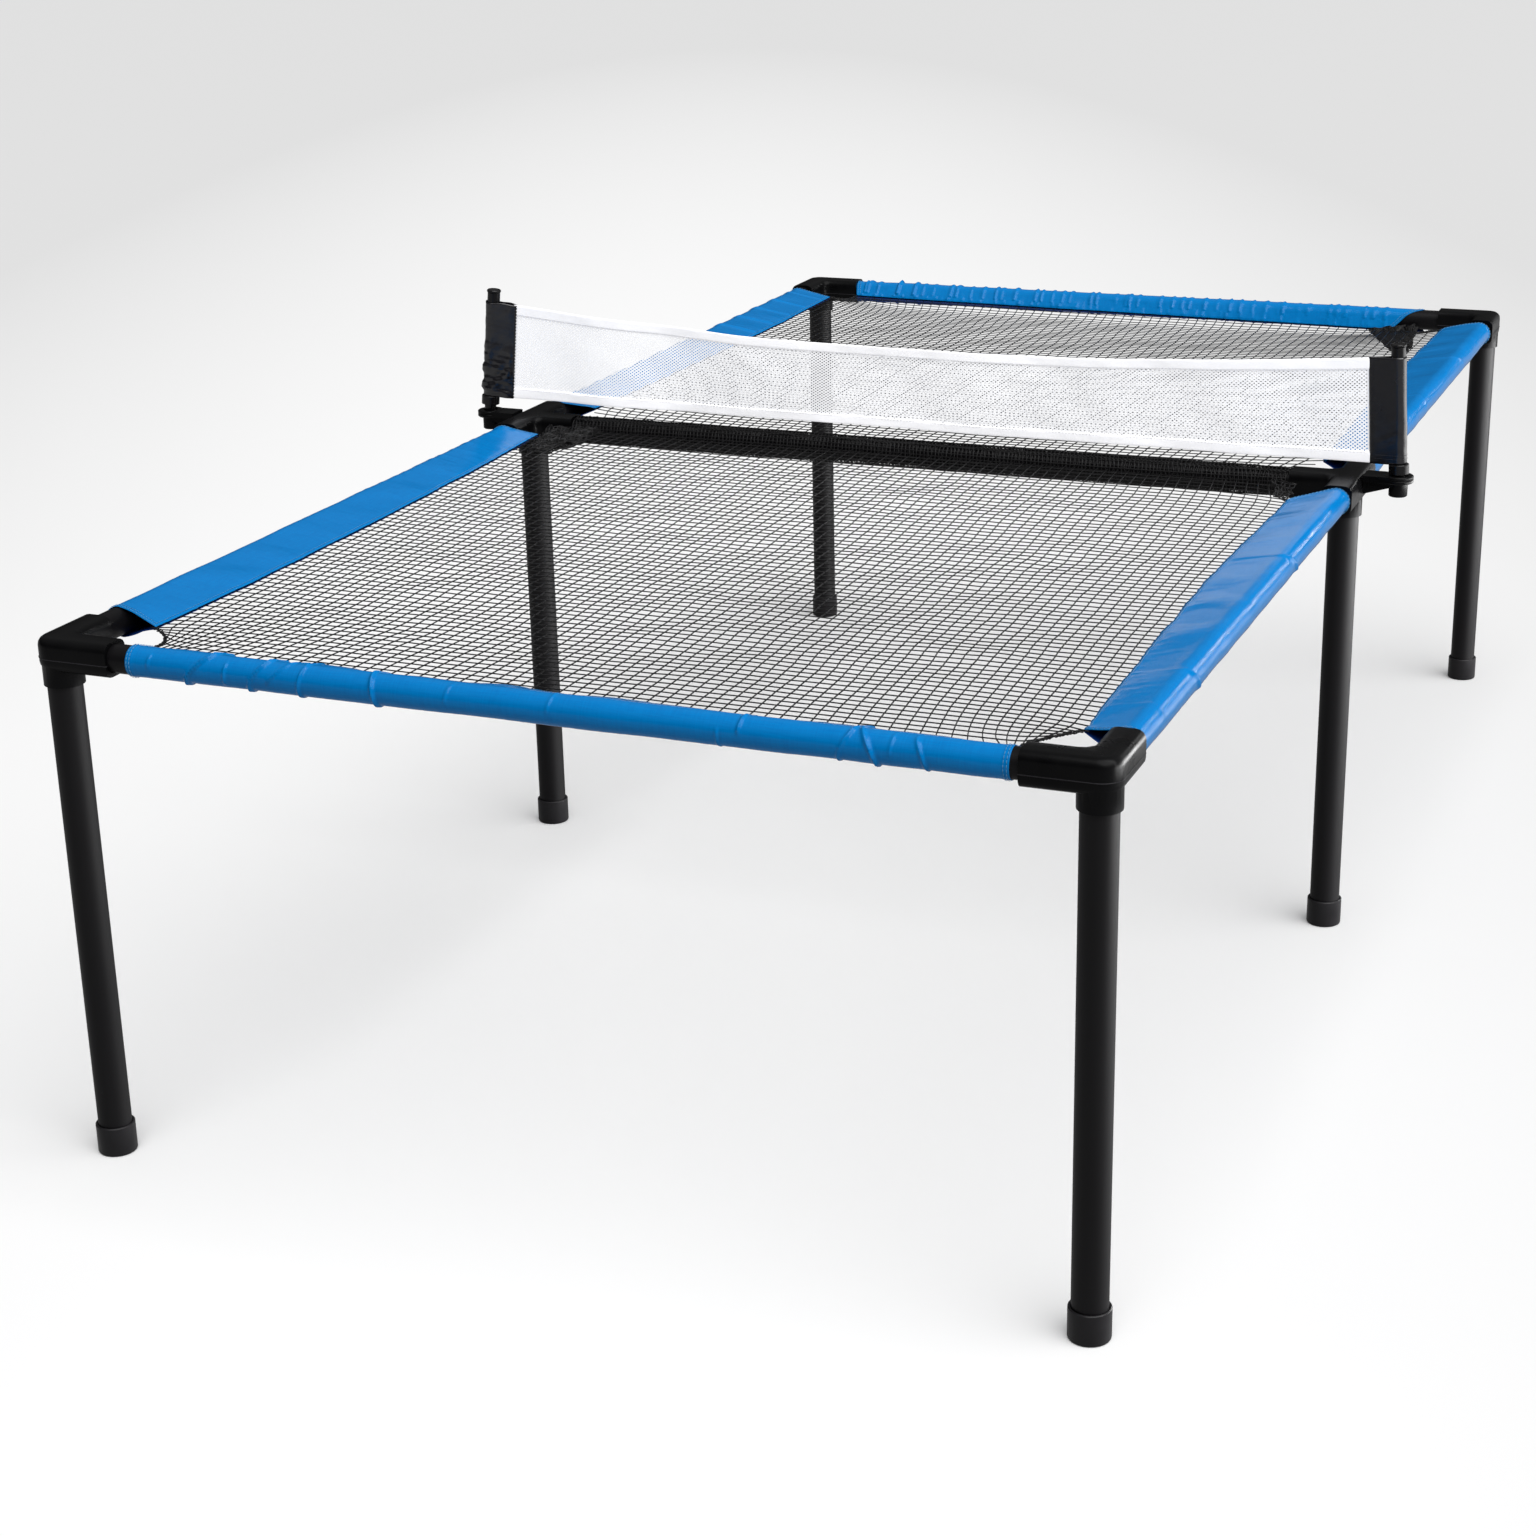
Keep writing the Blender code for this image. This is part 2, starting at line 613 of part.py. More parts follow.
def build_net(post_black, white, tape_white, sleeve_black):
    post, cap = post_mesh(), cap_mesh()
    for where in ("left", "right"):
        frame = post_frame(where)
        link(f"net_post_{where}", post, post_black, frame)
        link(f"post_cap_{where}", cap, post_black, frame)
        matrix = frame @ Matrix.Translation((0, 0, (NET_LOW + NET_HIGH) / 2))
        name = f"net_sleeve_{where}"
        extruded(name, net_sleeve_outline(), NET_HIGH - NET_LOW, sleeve_black, matrix)
    bottom, top = (NET_LOW, BOTTOM_SAG), (NET_HIGH, TOP_SAG)
    bands = {
        "net_bottom_tape": (bottom, 0.0, bottom, BOTTOM_TAPE, TAPE_WALL, tape_white),
        "net_mesh": (bottom, BOTTOM_TAPE + TOUCH_GAP, top, -TOP_TAPE - TOUCH_GAP, NET_WALL, white),
        "net_top_tape": (top, -TOP_TAPE, top, 0.0, TAPE_WALL, tape_white),
    }
    upright = Matrix.Rotation(math.pi / 2, 4, "X")
    for name, (low, low_shift, high, high_shift, wall, surface) in bands.items():
        outline = net_edge(*low, low_shift) + net_edge(*high, high_shift)[::-1]
        extruded(name, [outline], wall, surface, upright)


def main():
    clear_scene()
    black = material("connector_plastic", (0.016, 0.016, 0.018), 0.42)
    tube_black = material("tube_plastic", (0.020, 0.020, 0.023), 0.50)
    post_black = material("post_plastic", (0.018, 0.018, 0.021), 0.35)
    rubber = material("foot_plastic", (0.022, 0.022, 0.024), 0.45)
    blue = material("sleeve_fabric", (0.010, 0.180, 0.560), 0.55)
    netting = material("netting", (0.012, 0.012, 0.013), 0.70)
    wrap = material("netting_wrap", (0.014, 0.014, 0.016), 0.80)
    white = material("net_mesh", (0.82, 0.83, 0.88), 0.75)
    tape_white = material("net_tape", (0.86, 0.87, 0.91), 0.70)
    sleeve_black = material("net_sleeve", (0.015, 0.015, 0.020), 0.45)
    places = build_frame(black, tube_black)
    build_legs(places, tube_black, rubber)
    build_surface(blue, netting, wrap)
    build_net(post_black, white, tape_white, sleeve_black)


main()
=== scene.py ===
"""Looks of the low ping pong table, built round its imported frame.

+X is to the right across the table, +Y runs along it and +Z is up, in metres. "near" is the -Y
end. Cloth and netting are worked out here as sheets and strands that start and end on the rails,
connectors and posts of the frame.
"""

import json
import math

import bmesh
import bpy
import numpy as np
from mathutils import Matrix, Vector

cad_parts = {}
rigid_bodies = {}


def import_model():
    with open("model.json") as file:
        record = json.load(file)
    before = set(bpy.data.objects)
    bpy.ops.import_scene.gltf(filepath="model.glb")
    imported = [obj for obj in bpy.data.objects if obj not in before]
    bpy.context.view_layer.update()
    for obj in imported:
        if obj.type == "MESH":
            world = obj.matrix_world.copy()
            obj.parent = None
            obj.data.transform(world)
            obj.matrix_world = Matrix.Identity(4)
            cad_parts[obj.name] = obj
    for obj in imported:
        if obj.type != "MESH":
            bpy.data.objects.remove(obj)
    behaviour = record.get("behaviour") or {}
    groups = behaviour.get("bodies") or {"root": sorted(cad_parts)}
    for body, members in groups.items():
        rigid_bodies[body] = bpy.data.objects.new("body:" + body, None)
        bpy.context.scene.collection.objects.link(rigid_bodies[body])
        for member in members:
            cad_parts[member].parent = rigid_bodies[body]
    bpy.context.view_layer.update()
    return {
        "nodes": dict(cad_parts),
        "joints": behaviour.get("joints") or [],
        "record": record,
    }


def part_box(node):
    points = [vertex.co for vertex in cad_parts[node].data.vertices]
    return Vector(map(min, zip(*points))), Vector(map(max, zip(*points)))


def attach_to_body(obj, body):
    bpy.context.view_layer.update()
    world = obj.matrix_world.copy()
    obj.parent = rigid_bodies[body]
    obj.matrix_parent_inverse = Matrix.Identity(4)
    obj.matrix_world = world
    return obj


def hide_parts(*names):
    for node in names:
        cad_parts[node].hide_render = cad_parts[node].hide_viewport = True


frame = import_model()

MM = 0.001
UP = np.array([0.0, 0.0, 1.0])
scene = bpy.context.scene


# ---------------- where the frame's parts are


def middle_of(node):
    low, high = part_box(node)
    return (low + high) / 2


AXIS_Z = middle_of("cross_rail").z
RAIL_R = (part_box("cross_rail")[1].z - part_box("cross_rail")[0].z) / 2
RAIL_X = middle_of("side_rail_near_right").x
RAIL_Y = middle_of("end_rail_far").y
SEAM_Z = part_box("netting_near")[1].z
SIDES = {"left": -1, "right": 1}
ENDS = {"near": -1, "far": 1}


# ---------------- small mesh tools


def linked(name, data):
    obj = bpy.data.objects.new(name, data)
    scene.collection.objects.link(obj)
    return obj


def mesh_object(name, points, faces, materials, uvs=None):
    """A mesh from an array of points and lists of faces, with UVs in metres for the cloth grids."""
    mesh = bpy.data.meshes.new(name)
    mesh.from_pydata([tuple(p) for p in points], [], faces)
    mesh.update()
    mesh.shade_smooth()
    if uvs is not None:
        layer = mesh.uv_layers.new(name="cloth")
        index = np.empty(len(mesh.loops), np.int32)
        mesh.loops.foreach_get("vertex_index", index)
        layer.data.foreach_set("uv", np.asarray(uvs, np.float32)[index].reshape(-1))
    for material in materials:
        mesh.materials.append(material)
    return linked(name, mesh)


def attach(piece, body, node=None):
    """Says which body a piece rides and the frame's node that it stands for."""
    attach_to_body(piece, body)
    if node:
        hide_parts(node)
    return piece


def grid_faces(rows, columns, closed=False):
    """Quads of a (rows, columns) grid of points; closed joins the last column to the first."""
    faces = []
    across = columns if closed else columns - 1
    for i in range(rows - 1):
        for j in range(across):
            k = (j + 1) % columns
            a, b = i * columns, (i + 1) * columns
            faces.append((a + j, a + k, b + k, b + j))
    return faces


def unit(vectors):
    return vectors / np.maximum(np.linalg.norm(vectors, axis=-1, keepdims=True), 1e-12)


def solidified(obj, thickness):
    step = obj.modifiers.new("thickness", "SOLIDIFY")
    step.thickness = thickness
    step.offset = 1.0
    step.use_rim = True


def tube_arrays(path, radius, sides, up=UP):
    """Rings of points and faces of a tube along a path, its ends closed."""
    path = np.asarray(path, float)
    tangent = unit(np.gradient(path, axis=0))
    side = unit(np.cross(up, tangent))
    over = np.cross(tangent, side)
    radii = np.broadcast_to(np.asarray(radius, float), (len(path),))
    turn = np.arange(sides) * 2 * math.pi / sides + math.pi / sides
    ring = side[:, None] * np.cos(turn)[None, :, None] + over[:, None] * np.sin(turn)[None, :, None]
    points = path[:, None] + ring * radii[:, None, None]
    count = len(path) * sides
    faces = grid_faces(len(path), sides, closed=True)
    faces.append(tuple(range(sides))[::-1])
    faces.append(tuple(range(count - sides, count)))
    return points.reshape(-1, 3), faces


def joined(parts):
    """Points and faces of several (points, faces) pairs put into one."""
    points, faces, start = [], [], 0
    for some, these in parts:
        points.append(some)
        faces.extend(tuple(i + start for i in face) for face in these)
        start += len(some)
    return np.concatenate(points), faces


def tubes_piece(name, parts, look, body, node=None):
    """One piece made of many tubes."""
    points, faces = joined(parts)
    return attach(mesh_object(name, points, faces, [looks[look]]), body, node)


def run_along(path):
    """How far along a line each of its points is, from its first."""
    steps = np.linalg.norm(np.diff(path, axis=-2), axis=-1)
    return np.concatenate([np.zeros((*steps.shape[:-1], 1)), np.cumsum(steps, axis=-1)], axis=-1)


def resampled(path, count=None, step=None):
    """The path again, at points that lie evenly along it."""
    path = np.asarray(path, float)
    run = run_along(path)
    if count is None:
        count = max(2, int(round(run[-1] / step)) + 1)
    at = np.linspace(0.0, run[-1], count)
    return np.stack([np.interp(at, run, path[:, k]) for k in range(3)], axis=1)


class Ripples:
    """A smooth pattern of ups and downs over a sheet: waves of mixed length and direction."""

    def __init__(self, seed, shortest, longest, count=14, stretch=(1.0, 1.0)):
        draw = np.random.default_rng(seed)
        length = np.exp(draw.uniform(math.log(shortest), math.log(longest), count))
        turn = draw.uniform(0, 2 * math.pi, count)
        self.kx = 2 * math.pi / length * np.cos(turn) / stretch[0]
        self.ky = 2 * math.pi / length * np.sin(turn) / stretch[1]
        self.phase = draw.uniform(0, 2 * math.pi, count)
        self.share = 1.0 / math.sqrt(count)

    def __call__(self, x, y):
        total = 0.0
        for kx, ky, phase in zip(self.kx, self.ky, self.phase, strict=True):
            total = total + np.sin(kx * x + ky * y + phase)
        return total * self.share


def smoothstep(low, high, x):
    t = np.clip((x - low) / (high - low), 0, 1)
    return t * t * (3 - 2 * t)


# ---------------- materials


def srgb(r, g, b):
    """A linear colour from 0-255 display values."""
    made = []
    for value in (r, g, b):
        c = value / 255
        made.append(c / 12.92 if c <= 0.04045 else ((c + 0.055) / 1.055) ** 2.4)
    return (*made, 1.0)


def grey(value):
    return (value, value, value, 1.0)


def scaled(colour, times, plus=0.0):
    return tuple(times * c + plus for c in colour[:3]) + (1.0,)


def fill(tree, socket, value):
    """Sets a socket, or links it where the value is itself a socket."""
    if isinstance(value, bpy.types.NodeSocket):
        tree.links.new(value, socket)
    else:
        socket.default_value = value


def feed(tree, node, **values):
    """Fills a node's sockets and sets its properties, by name."""
    for key, value in values.items():
        socket = node.inputs.get(key.replace("_", " "))
        if socket is None:
            setattr(node, key, value)
        else:
            fill(tree, socket, value)
    return node


def add(tree, kind, **values):
    return feed(tree, tree.nodes.new("ShaderNode" + kind), **values)


def new_material(name, roughness, **sockets):
    made = bpy.data.materials.new(name)
    made.use_nodes = True
    shader = made.node_tree.nodes["Principled BSDF"]
    feed(made.node_tree, shader, Roughness=roughness, **sockets)
    return made, made.node_tree, shader


def mixed(tree, factor, first, second, blend="MIX"):
    """Two colours mixed; each of the three values is a socket or a constant."""
    node = add(tree, "Mix", data_type="RGBA", blend_type=blend)
    for index, value in ((0, factor), (6, first), (7, second)):
        fill(tree, node.inputs[index], value)
    return node.outputs[2]


def calculated(tree, operation, first, second):
    node = add(tree, "Math", operation=operation)
    fill(tree, node.inputs[0], first)
    fill(tree, node.inputs[1], second)
    return node.outputs[0]


def ramp(tree, source, low, high, start, end):
    """A source between 0 and 1 mapped to two colours, by a ramp from start to end."""
    node = add(tree, "ValToRGB", Fac=source)
    first, last = node.color_ramp.elements
    first.position, last.position = start, end
    first.color, last.color = low, high
    return node.outputs["Color"]


def noise_of(tree, vector, scale, detail, roughness=0.55):
    node = add(tree, "TexNoise", Vector=vector, Scale=scale, Detail=detail, Roughness=roughness)
    return node.outputs["Fac"]


def stretched(tree, source, scale):
    return add(tree, "Mapping", Vector=source, Scale=scale).outputs["Vector"]


def own_place(tree, scale=(1.0, 1.0, 1.0)):
    """The object's own coordinates in metres, stretched by scale."""
    return stretched(tree, add(tree, "TexCoord").outputs["Object"], scale)


def cloth_place(tree, scale=(1.0, 1.0, 1.0)):
    """The cloth's UVs in metres, stretched by scale."""
    return stretched(tree, add(tree, "UVMap", uv_map="cloth").outputs["UV"], scale)


def bumped(tree, shader, height, strength, distance, **under):
    """Bumps on a shader; under is the Normal that they lie on."""
    node = add(tree, "Bump", Height=height, Strength=strength, Distance=distance, **under)
    feed(tree, shader, Normal=node.outputs["Normal"])
    return node.outputs["Normal"]


def plastic(name, colour, roughness, grain, stretch=(1.0, 1.0, 1.0), specular=0.13):
    """Moulded or extruded black plastic: a fine grain, uneven gloss, handling marks and a little dust."""
    made, tree, shader = new_material(name, roughness, Specular_IOR_Level=specular)
    fine = noise_of(tree, own_place(tree, stretch), 900.0, 2.0)
    cloud = noise_of(tree, own_place(tree, stretch), 26.0, 4.0)
    marks = noise_of(tree, own_place(tree, (1.0, 1.0, 0.35)), 140.0, 5.0, 0.7)
    body = ramp(tree, cloud, scaled(colour, 0.75), scaled(colour, 1.3, 0.001), 0.3, 0.7)
    dust = ramp(tree, marks, grey(0.0), grey(0.5), 0.66, 0.80)
    gloss = ramp(tree, cloud, grey(roughness - 0.07), grey(roughness + 0.09), 0.3, 0.7)
    feed(tree, shader, Base_Color=mixed(tree, dust, body, scaled(colour, 2.5, 0.006)),
         Roughness=gloss)
    first = bumped(tree, shader, fine, grain, 0.2 * MM)
    bumped(tree, shader, marks, 0.12, 0.3 * MM, Normal=first)
    return made


def woven(name, colour, dark, roughness, pitch, streak=0.5, bump=0.35, painted_glow=0.0, specular=0.24):
    """Plain-woven cloth on UVs in metres: two sets of threads and uneven yarn.

    streak is how much of the dark colour shows in the yarn, and painted_glow is painted light: the cloth
    gives off light of its own, in place of light coming through thin pale cloth from behind.
    """
    made, tree, shader = new_material(name, roughness, Sheen_Weight=0.0, Sheen_Roughness=0.4,
                                      Specular_IOR_Level=specular)
    threads = cloth_place(tree, (0.32 / pitch, 0.32 / pitch, 1.0))
    warp, weft = (
        add(tree, "TexWave", wave_type="BANDS", bands_direction=axis, Vector=threads, Scale=1.0,
            Distortion=0.6).outputs["Fac"]
        for axis in "XY"
    )
    weave = calculated(tree, "MULTIPLY", warp, weft)
    along = noise_of(tree, cloth_place(tree, (1.0, 14.0, 1.0)), 60.0, 4.0)
    across = noise_of(tree, cloth_place(tree, (14.0, 1.0, 1.0)), 60.0, 4.0)
    cloud = noise_of(tree, cloth_place(tree), 14.0, 3.0)
    yarn = calculated(tree, "MULTIPLY", calculated(tree, "ADD", along, across), 0.5)
    low = tuple(c + (d - c) * streak for c, d in zip(colour, dark, strict=True))
    tone = ramp(tree, yarn, low, colour, 0.36, 0.60)
    shade = ramp(tree, weave, grey(0.80), grey(1.0), 0.05, 0.5)
    gloss = ramp(tree, cloud, grey(roughness - 0.06), grey(roughness + 0.08), 0.3, 0.7)
    cloth = mixed(tree, 0.8, tone, shade, "MULTIPLY")
    feed(tree, shader, Base_Color=cloth, Roughness=gloss)
    # Painted light: pale cloth glows by itself to look brighter.
    if painted_glow:
        feed(tree, shader, Emission_Color=cloth, Emission_Strength=painted_glow)
    first = bumped(tree, shader, weave, bump, 0.2 * MM)
    bumped(tree, shader, yarn, bump, 0.4 * MM, Normal=first)
    return made


def twine(name, colour, roughness, sheen=0.0):
    """Twisted thread: short fibres along and round it, with lighter worn fibres."""
    made, tree, shader = new_material(name, roughness, Sheen_Weight=sheen, Specular_IOR_Level=0.3)
    fibre = noise_of(tree, own_place(tree), 1500.0, 3.0, 0.7)
    cloud = noise_of(tree, own_place(tree), 45.0, 3.0)
    tone = ramp(tree, fibre, scaled(colour, 0.55), colour, 0.35, 0.7)
    shade = ramp(tree, cloud, grey(0.7), grey(1.0), 0.3, 0.7)
    feed(tree, shader, Base_Color=mixed(tree, 1.0, tone, shade, "MULTIPLY"))
    bumped(tree, shader, fibre, 0.5, 0.2 * MM)
    return made


BLUE = srgb(0, 128, 203)
BLUE_DARK = srgb(0, 108, 183)
# A darker blue for the sleeves' lower sides: painted shade.
BLUE_PAINTED_SHADE = srgb(4, 58, 140)
BLACK = srgb(14, 13, 15)
WHITE = srgb(253, 253, 255)
FINE, FINEST = 0.5 * MM, 0.4 * MM  # from thread to thread in the cloths

looks = {
    "connector": plastic("connector_black", srgb(7, 7, 8), 0.30, 0.10, specular=0.09),
    "tube_x": plastic("tube_black_across", BLACK, 0.38, 0.10, (0.06, 1, 1)),
    "tube_y": plastic("tube_black_along", BLACK, 0.38, 0.10, (1, 0.06, 1)),
    "tube_z": plastic("tube_black_upright", srgb(12, 11, 13), 0.48, 0.05, (1, 1, 0.06), 0.20),
    "foot": plastic("foot_black", srgb(26, 25, 27), 0.34, 0.14, specular=0.22),
    "post": plastic("post_black", srgb(10, 9, 11), 0.22, 0.06, specular=0.35),
    "blue": woven("sleeve_blue", BLUE, BLUE_DARK, 0.17, FINE, bump=0.05, specular=0.14),
    "blue_painted_shade": woven("sleeve_underside_painted_shade", BLUE_PAINTED_SHADE, srgb(5, 34, 96), 0.60, FINE),
    "blue_thread": twine("blue_thread", srgb(112, 190, 243), 0.5),
    "netting": twine("netting_black", srgb(17, 16, 18), 0.42),
    "wrap": twine("wrap_black", srgb(20, 19, 21), 0.5),
    # The white net and its tapes glow with painted light.
    "white": woven("net_white", WHITE, srgb(244, 245, 250), 0.7, FINE, 0.6, painted_glow=0.50),
    "tape": woven("tape_white", WHITE, srgb(246, 246, 252), 0.66, FINEST, 0.6, painted_glow=0.52),
    "white_thread": twine("white_thread", srgb(250, 250, 255), 0.6, 0.3),
    "satin": woven("end_sleeve_black", srgb(19, 18, 24), srgb(12, 11, 15), 0.24, FINEST, 0.5,
                   0.08, specular=0.8),
    # The mould line gets a lighter plastic than the connectors: a painted highlight along it.
    "mould": plastic("mould_line_painted_highlight", srgb(40, 39, 42), 0.35, 0.10),
    "grey_thread": twine("grey_thread", srgb(84, 82, 88), 0.5),
}


# ---------------- rigid pieces

SMOOTH_ANGLE = math.radians(38)
WELD = 0.01 * MM


LOOK_OF = {
    "side_rail": "tube_y", "cross_rail": "tube_x", "end_rail": "tube_x", "leg_": "tube_z",
    "foot_": "foot", "net_post": "post", "post_cap": "post",
}


def node_look(node):
    for start, look in LOOK_OF.items():
        if node.startswith(start):
            return looks[look]
    return looks["connector"]


def rounded_piece(node, body):
    """The node's own shape with its facets welded, shaded round and its edges softened."""
    mesh = bpy.data.meshes.new(node + "_shape")
    bm = bmesh.new()
    bm.from_mesh(frame["nodes"][node].data)
    bmesh.ops.remove_doubles(bm, verts=bm.verts, dist=WELD)
    bmesh.ops.dissolve_limit(
        bm, angle_limit=math.radians(1.0), verts=bm.verts, edges=bm.edges, delimit={"NORMAL"}
    )
    bm.to_mesh(mesh)
    bm.free()
    mesh.materials.clear()
    mesh.materials.append(node_look(node))
    mesh.shade_smooth()
    mesh.set_sharp_from_angle(angle=SMOOTH_ANGLE)
    piece = linked(node + "_shape", mesh)
    edge = piece.modifiers.new("soft_edges", "BEVEL")
    edge.limit_method = "ANGLE"
    edge.angle_limit = SMOOTH_ANGLE
    edge.width = 0.35 * MM
    edge.segments = 2
    edge.use_clamp_overlap = True
    edge.harden_normals = True
    attach(piece, body, node)


SOFT = ("side_sleeve", "end_sleeve", "netting", "centre_wrap", "net_mesh", "net_top", "net_bottom",
        "net_sleeve")
for body, members in frame["record"]["behaviour"]["bodies"].items():
    for node in members:
        if not node.startswith(SOFT):
            rounded_piece(node, body)


def outline_loops(node, height):
    """The closed outlines where a level plane cuts a node, as arrays of points."""
    bm = bmesh.new()
    bm.from_mesh(frame["nodes"][node].data)
    bm.transform(frame["nodes"][node].matrix_world)
    bmesh.ops.remove_doubles(bm, verts=bm.verts, dist=WELD)
    cut = bmesh.ops.bisect_plane(
        bm, geom=bm.verts[:] + bm.edges[:] + bm.faces[:], plane_co=(0, 0, height),
        plane_no=(0, 0, 1), clear_inner=True, clear_outer=True,
    )
    left = [e for e in cut["geom_cut"] if isinstance(e, bmesh.types.BMEdge)]
    loops = []
    while left:
        edge = left.pop()
        start, at = edge.verts
        line = [start.co.copy(), at.co.copy()]
        while at is not start:
            following = [e for e in at.link_edges if e in left]
            if not following:
                break
            left.remove(following[0])
            at = following[0].other_vert(at)
            line.append(at.co.copy())
        loops.append(np.array(line))
    bm.free()
    return loops


def mould_line(node, height, radius):
    """The fine raised line that the two halves of the mould leave round a connector."""
    loops = [loop for loop in outline_loops(node, height) if len(loop) > 3]
    parts = [tube_arrays(resampled(loop, step=0.8 * MM), radius, 5) for loop in loops]
    # Its lighter look is a painted highlight.
    tubes_piece(node + "_mould_line", parts, "mould", "frame")


for end in ENDS:
    for where in SIDES:
        mould_line(f"corner_connector_{end}_{where}", AXIS_Z - 2.8 * MM, 0.40 * MM)


# ---------------- blue sleeves

CLOTH = 0.35 * MM
FIT = 0.15 * MM  # air between a rail and the cloth round it
TOP_STEPS, ROUND_STEPS, UNDER_STEPS = 15, 26, 10
COLUMNS = TOP_STEPS + ROUND_STEPS + UNDER_STEPS


def pocket(radius, reach, rise, gap):
    """Cloth round a tube, from the seam over the tube and back under it, for each row of reach.

    Returns (inward, up) places and outward directions, both (rows, COLUMNS, 2).
    """
    span = np.hypot(reach, rise)
    tilt = np.arctan2(rise, reach)
    open_angle = np.arccos(np.clip(radius / span, -1, 1))
    first, last = tilt + open_angle, tilt - open_angle + 2 * math.pi
    turn = first[:, None] + (last - first)[:, None] * np.linspace(0, 1, ROUND_STEPS)[None]
    arc = np.stack([np.cos(turn), np.sin(turn)], -1)
    seam = np.stack([reach, rise], -1)[:, None]
    t = np.linspace(0, 1, TOP_STEPS, endpoint=False)[None, :, None]
    top = seam + (radius * arc[:, :1] - seam) * t
    t = np.linspace(0, 1, UNDER_STEPS + 1)[None, 1:, None]
    under = radius * arc[:, -1:] + (seam - (0, gap) - radius * arc[:, -1:]) * t
    places = np.concatenate([top, radius * arc, under], axis=1)
    out = [np.repeat(arc[:, :1], TOP_STEPS, 1), arc, np.repeat(arc[:, -1:], UNDER_STEPS, 1)]
    return places, np.concatenate(out, axis=1)


def crease(s, f, at, lean, height, width, low=0.0, high=1.0):
    """A raised fold that crosses the sleeve at "at" below and "at + lean" above, f being 0 to 1."""
    line = at + lean * np.clip(f, 0, 1) ** 1.4
    away = s - line
    ridge = np.exp(-((away / np.where(away > 0, width, 2.2 * width)) ** 2))
    fade = smoothstep(low - 0.08, low + 0.08, f) * (1 - smoothstep(high - 0.08, high + 0.08, f))
    return height * ridge * fade


def sleeve(name, origin, inward, along, starts, stops, reach, rise, puff, creases, seed, step):
    """A blue sleeve. starts and stops give its two cut ends, at the tube and at the seam."""
    origin, inward, along = (np.asarray(v, float) for v in (origin, inward, along))
    rows = int(round((max(stops) - min(starts)) / step)) + 1
    share = np.linspace(0, 1, rows)
    middle = starts[0] + (stops[0] - starts[0]) * share
    places, out = pocket(RAIL_R + FIT, reach(middle), rise(middle), 1.4 * MM)
    depth = np.clip(places[..., 0] / reach(middle)[:, None], 0, 1) ** 1.3
    low = starts[0] + (starts[1] - starts[0]) * depth
    high = stops[0] + (stops[1] - stops[0]) * depth
    s = low + (high - low) * share[:, None]
    girth = run_along(places)
    top_free = np.clip(1 - np.linspace(0, COLUMNS, COLUMNS) / TOP_STEPS, 0, 1)[None]
    under_free = np.clip((np.arange(COLUMNS) - TOP_STEPS - ROUND_STEPS + 4) / 8, 0, 1)[None]
    front = smoothstep(250, 75, np.degrees(np.arctan2(places[..., 1], places[..., 0])) % 360)
    broad, fine = Ripples(seed, 0.05, 0.16), Ripples(seed + 1, 0.006, 0.02, 18, (1.0, 2.2))
    lift = puff + 0.10 * MM * (1 + fine(s, girth)) * (0.35 + 0.65 * top_free)
    lift = lift + 0.22 * MM * (1 + broad(s, girth))
    lift = lift + top_free * (1 - top_free) * 4 * 0.5 * MM * broad(s, 0.4 * girth)
    lift = lift + 1.2 * MM * under_free * (1 - under_free) * 4
    edge = np.minimum(s - low, high - s)
    lift = lift + 0.30 * MM * (1 - smoothstep(4.5 * MM, 6.5 * MM, edge))
    for one in creases:
        lift = lift + crease(s, front, **one)
    lift = np.where((top_free > 0.9) | (under_free > 0.9), np.minimum(lift, 0.3 * MM), lift)
    lift = np.maximum(lift, 0.08 * MM)
    places = places + out * lift[..., None]
    wave = 0.5 * MM * broad(s, 0.0) + 0.25 * MM * fine(s, 0.0)
    places[..., 0] += (top_free ** 3 + under_free ** 3) * wave
    points = (
        origin + along * s[..., None] + inward * places[..., :1]
        + UP * places[..., 1:]
    )
    faces = grid_faces(rows, COLUMNS)
    normal = np.cross(points[1, 1] - points[0, 1], points[0, 2] - points[0, 1])
    if normal @ (inward * out[0, 1, 0] + UP * out[0, 1, 1]) < 0:
        faces = [face[::-1] for face in faces]
    uvs = np.stack([s.reshape(-1), girth.reshape(-1)], -1)
    materials = [looks["blue"], looks["blue_painted_shade"]]
    piece = mesh_object(name + "_cloth", points.reshape(-1, 3), faces, materials, uvs)
    # The lowest part of the round and the cloth back under the tube take the darker blue as painted
    # shade.
    painted_shade_from = TOP_STEPS + int(0.80 * ROUND_STEPS)
    for polygon in piece.data.polygons:
        polygon.material_index = int(min(polygon.vertices) % COLUMNS >= painted_shade_from)
    solidified(piece, CLOTH)
    attach(piece, "frame", name)
    return piece, points


def stitches(name, path, look, pitch, length, radius, up=UP, body="frame", slot="sleeve_fabric"):
    """A line of stitches lying on a path: short rounded threads with their ends dipping in.

    pitch, length and radius are in millimetres.
    """
    path = resampled(path, step=pitch * MM / 6)
    run = np.arange(len(path)) * pitch * MM / 6
    parts = []
    for i in range(int(run[-1] / (pitch * MM))):
        at = np.linspace(0, length * MM, 4) + i * pitch * MM
        line = np.stack([np.interp(at, run, path[:, k]) for k in range(3)], axis=1)
        parts.append(tube_arrays(line, radius * MM * np.array([0.45, 1, 1, 0.45]), 4, up))
    return tubes_piece(name, parts, look, body)


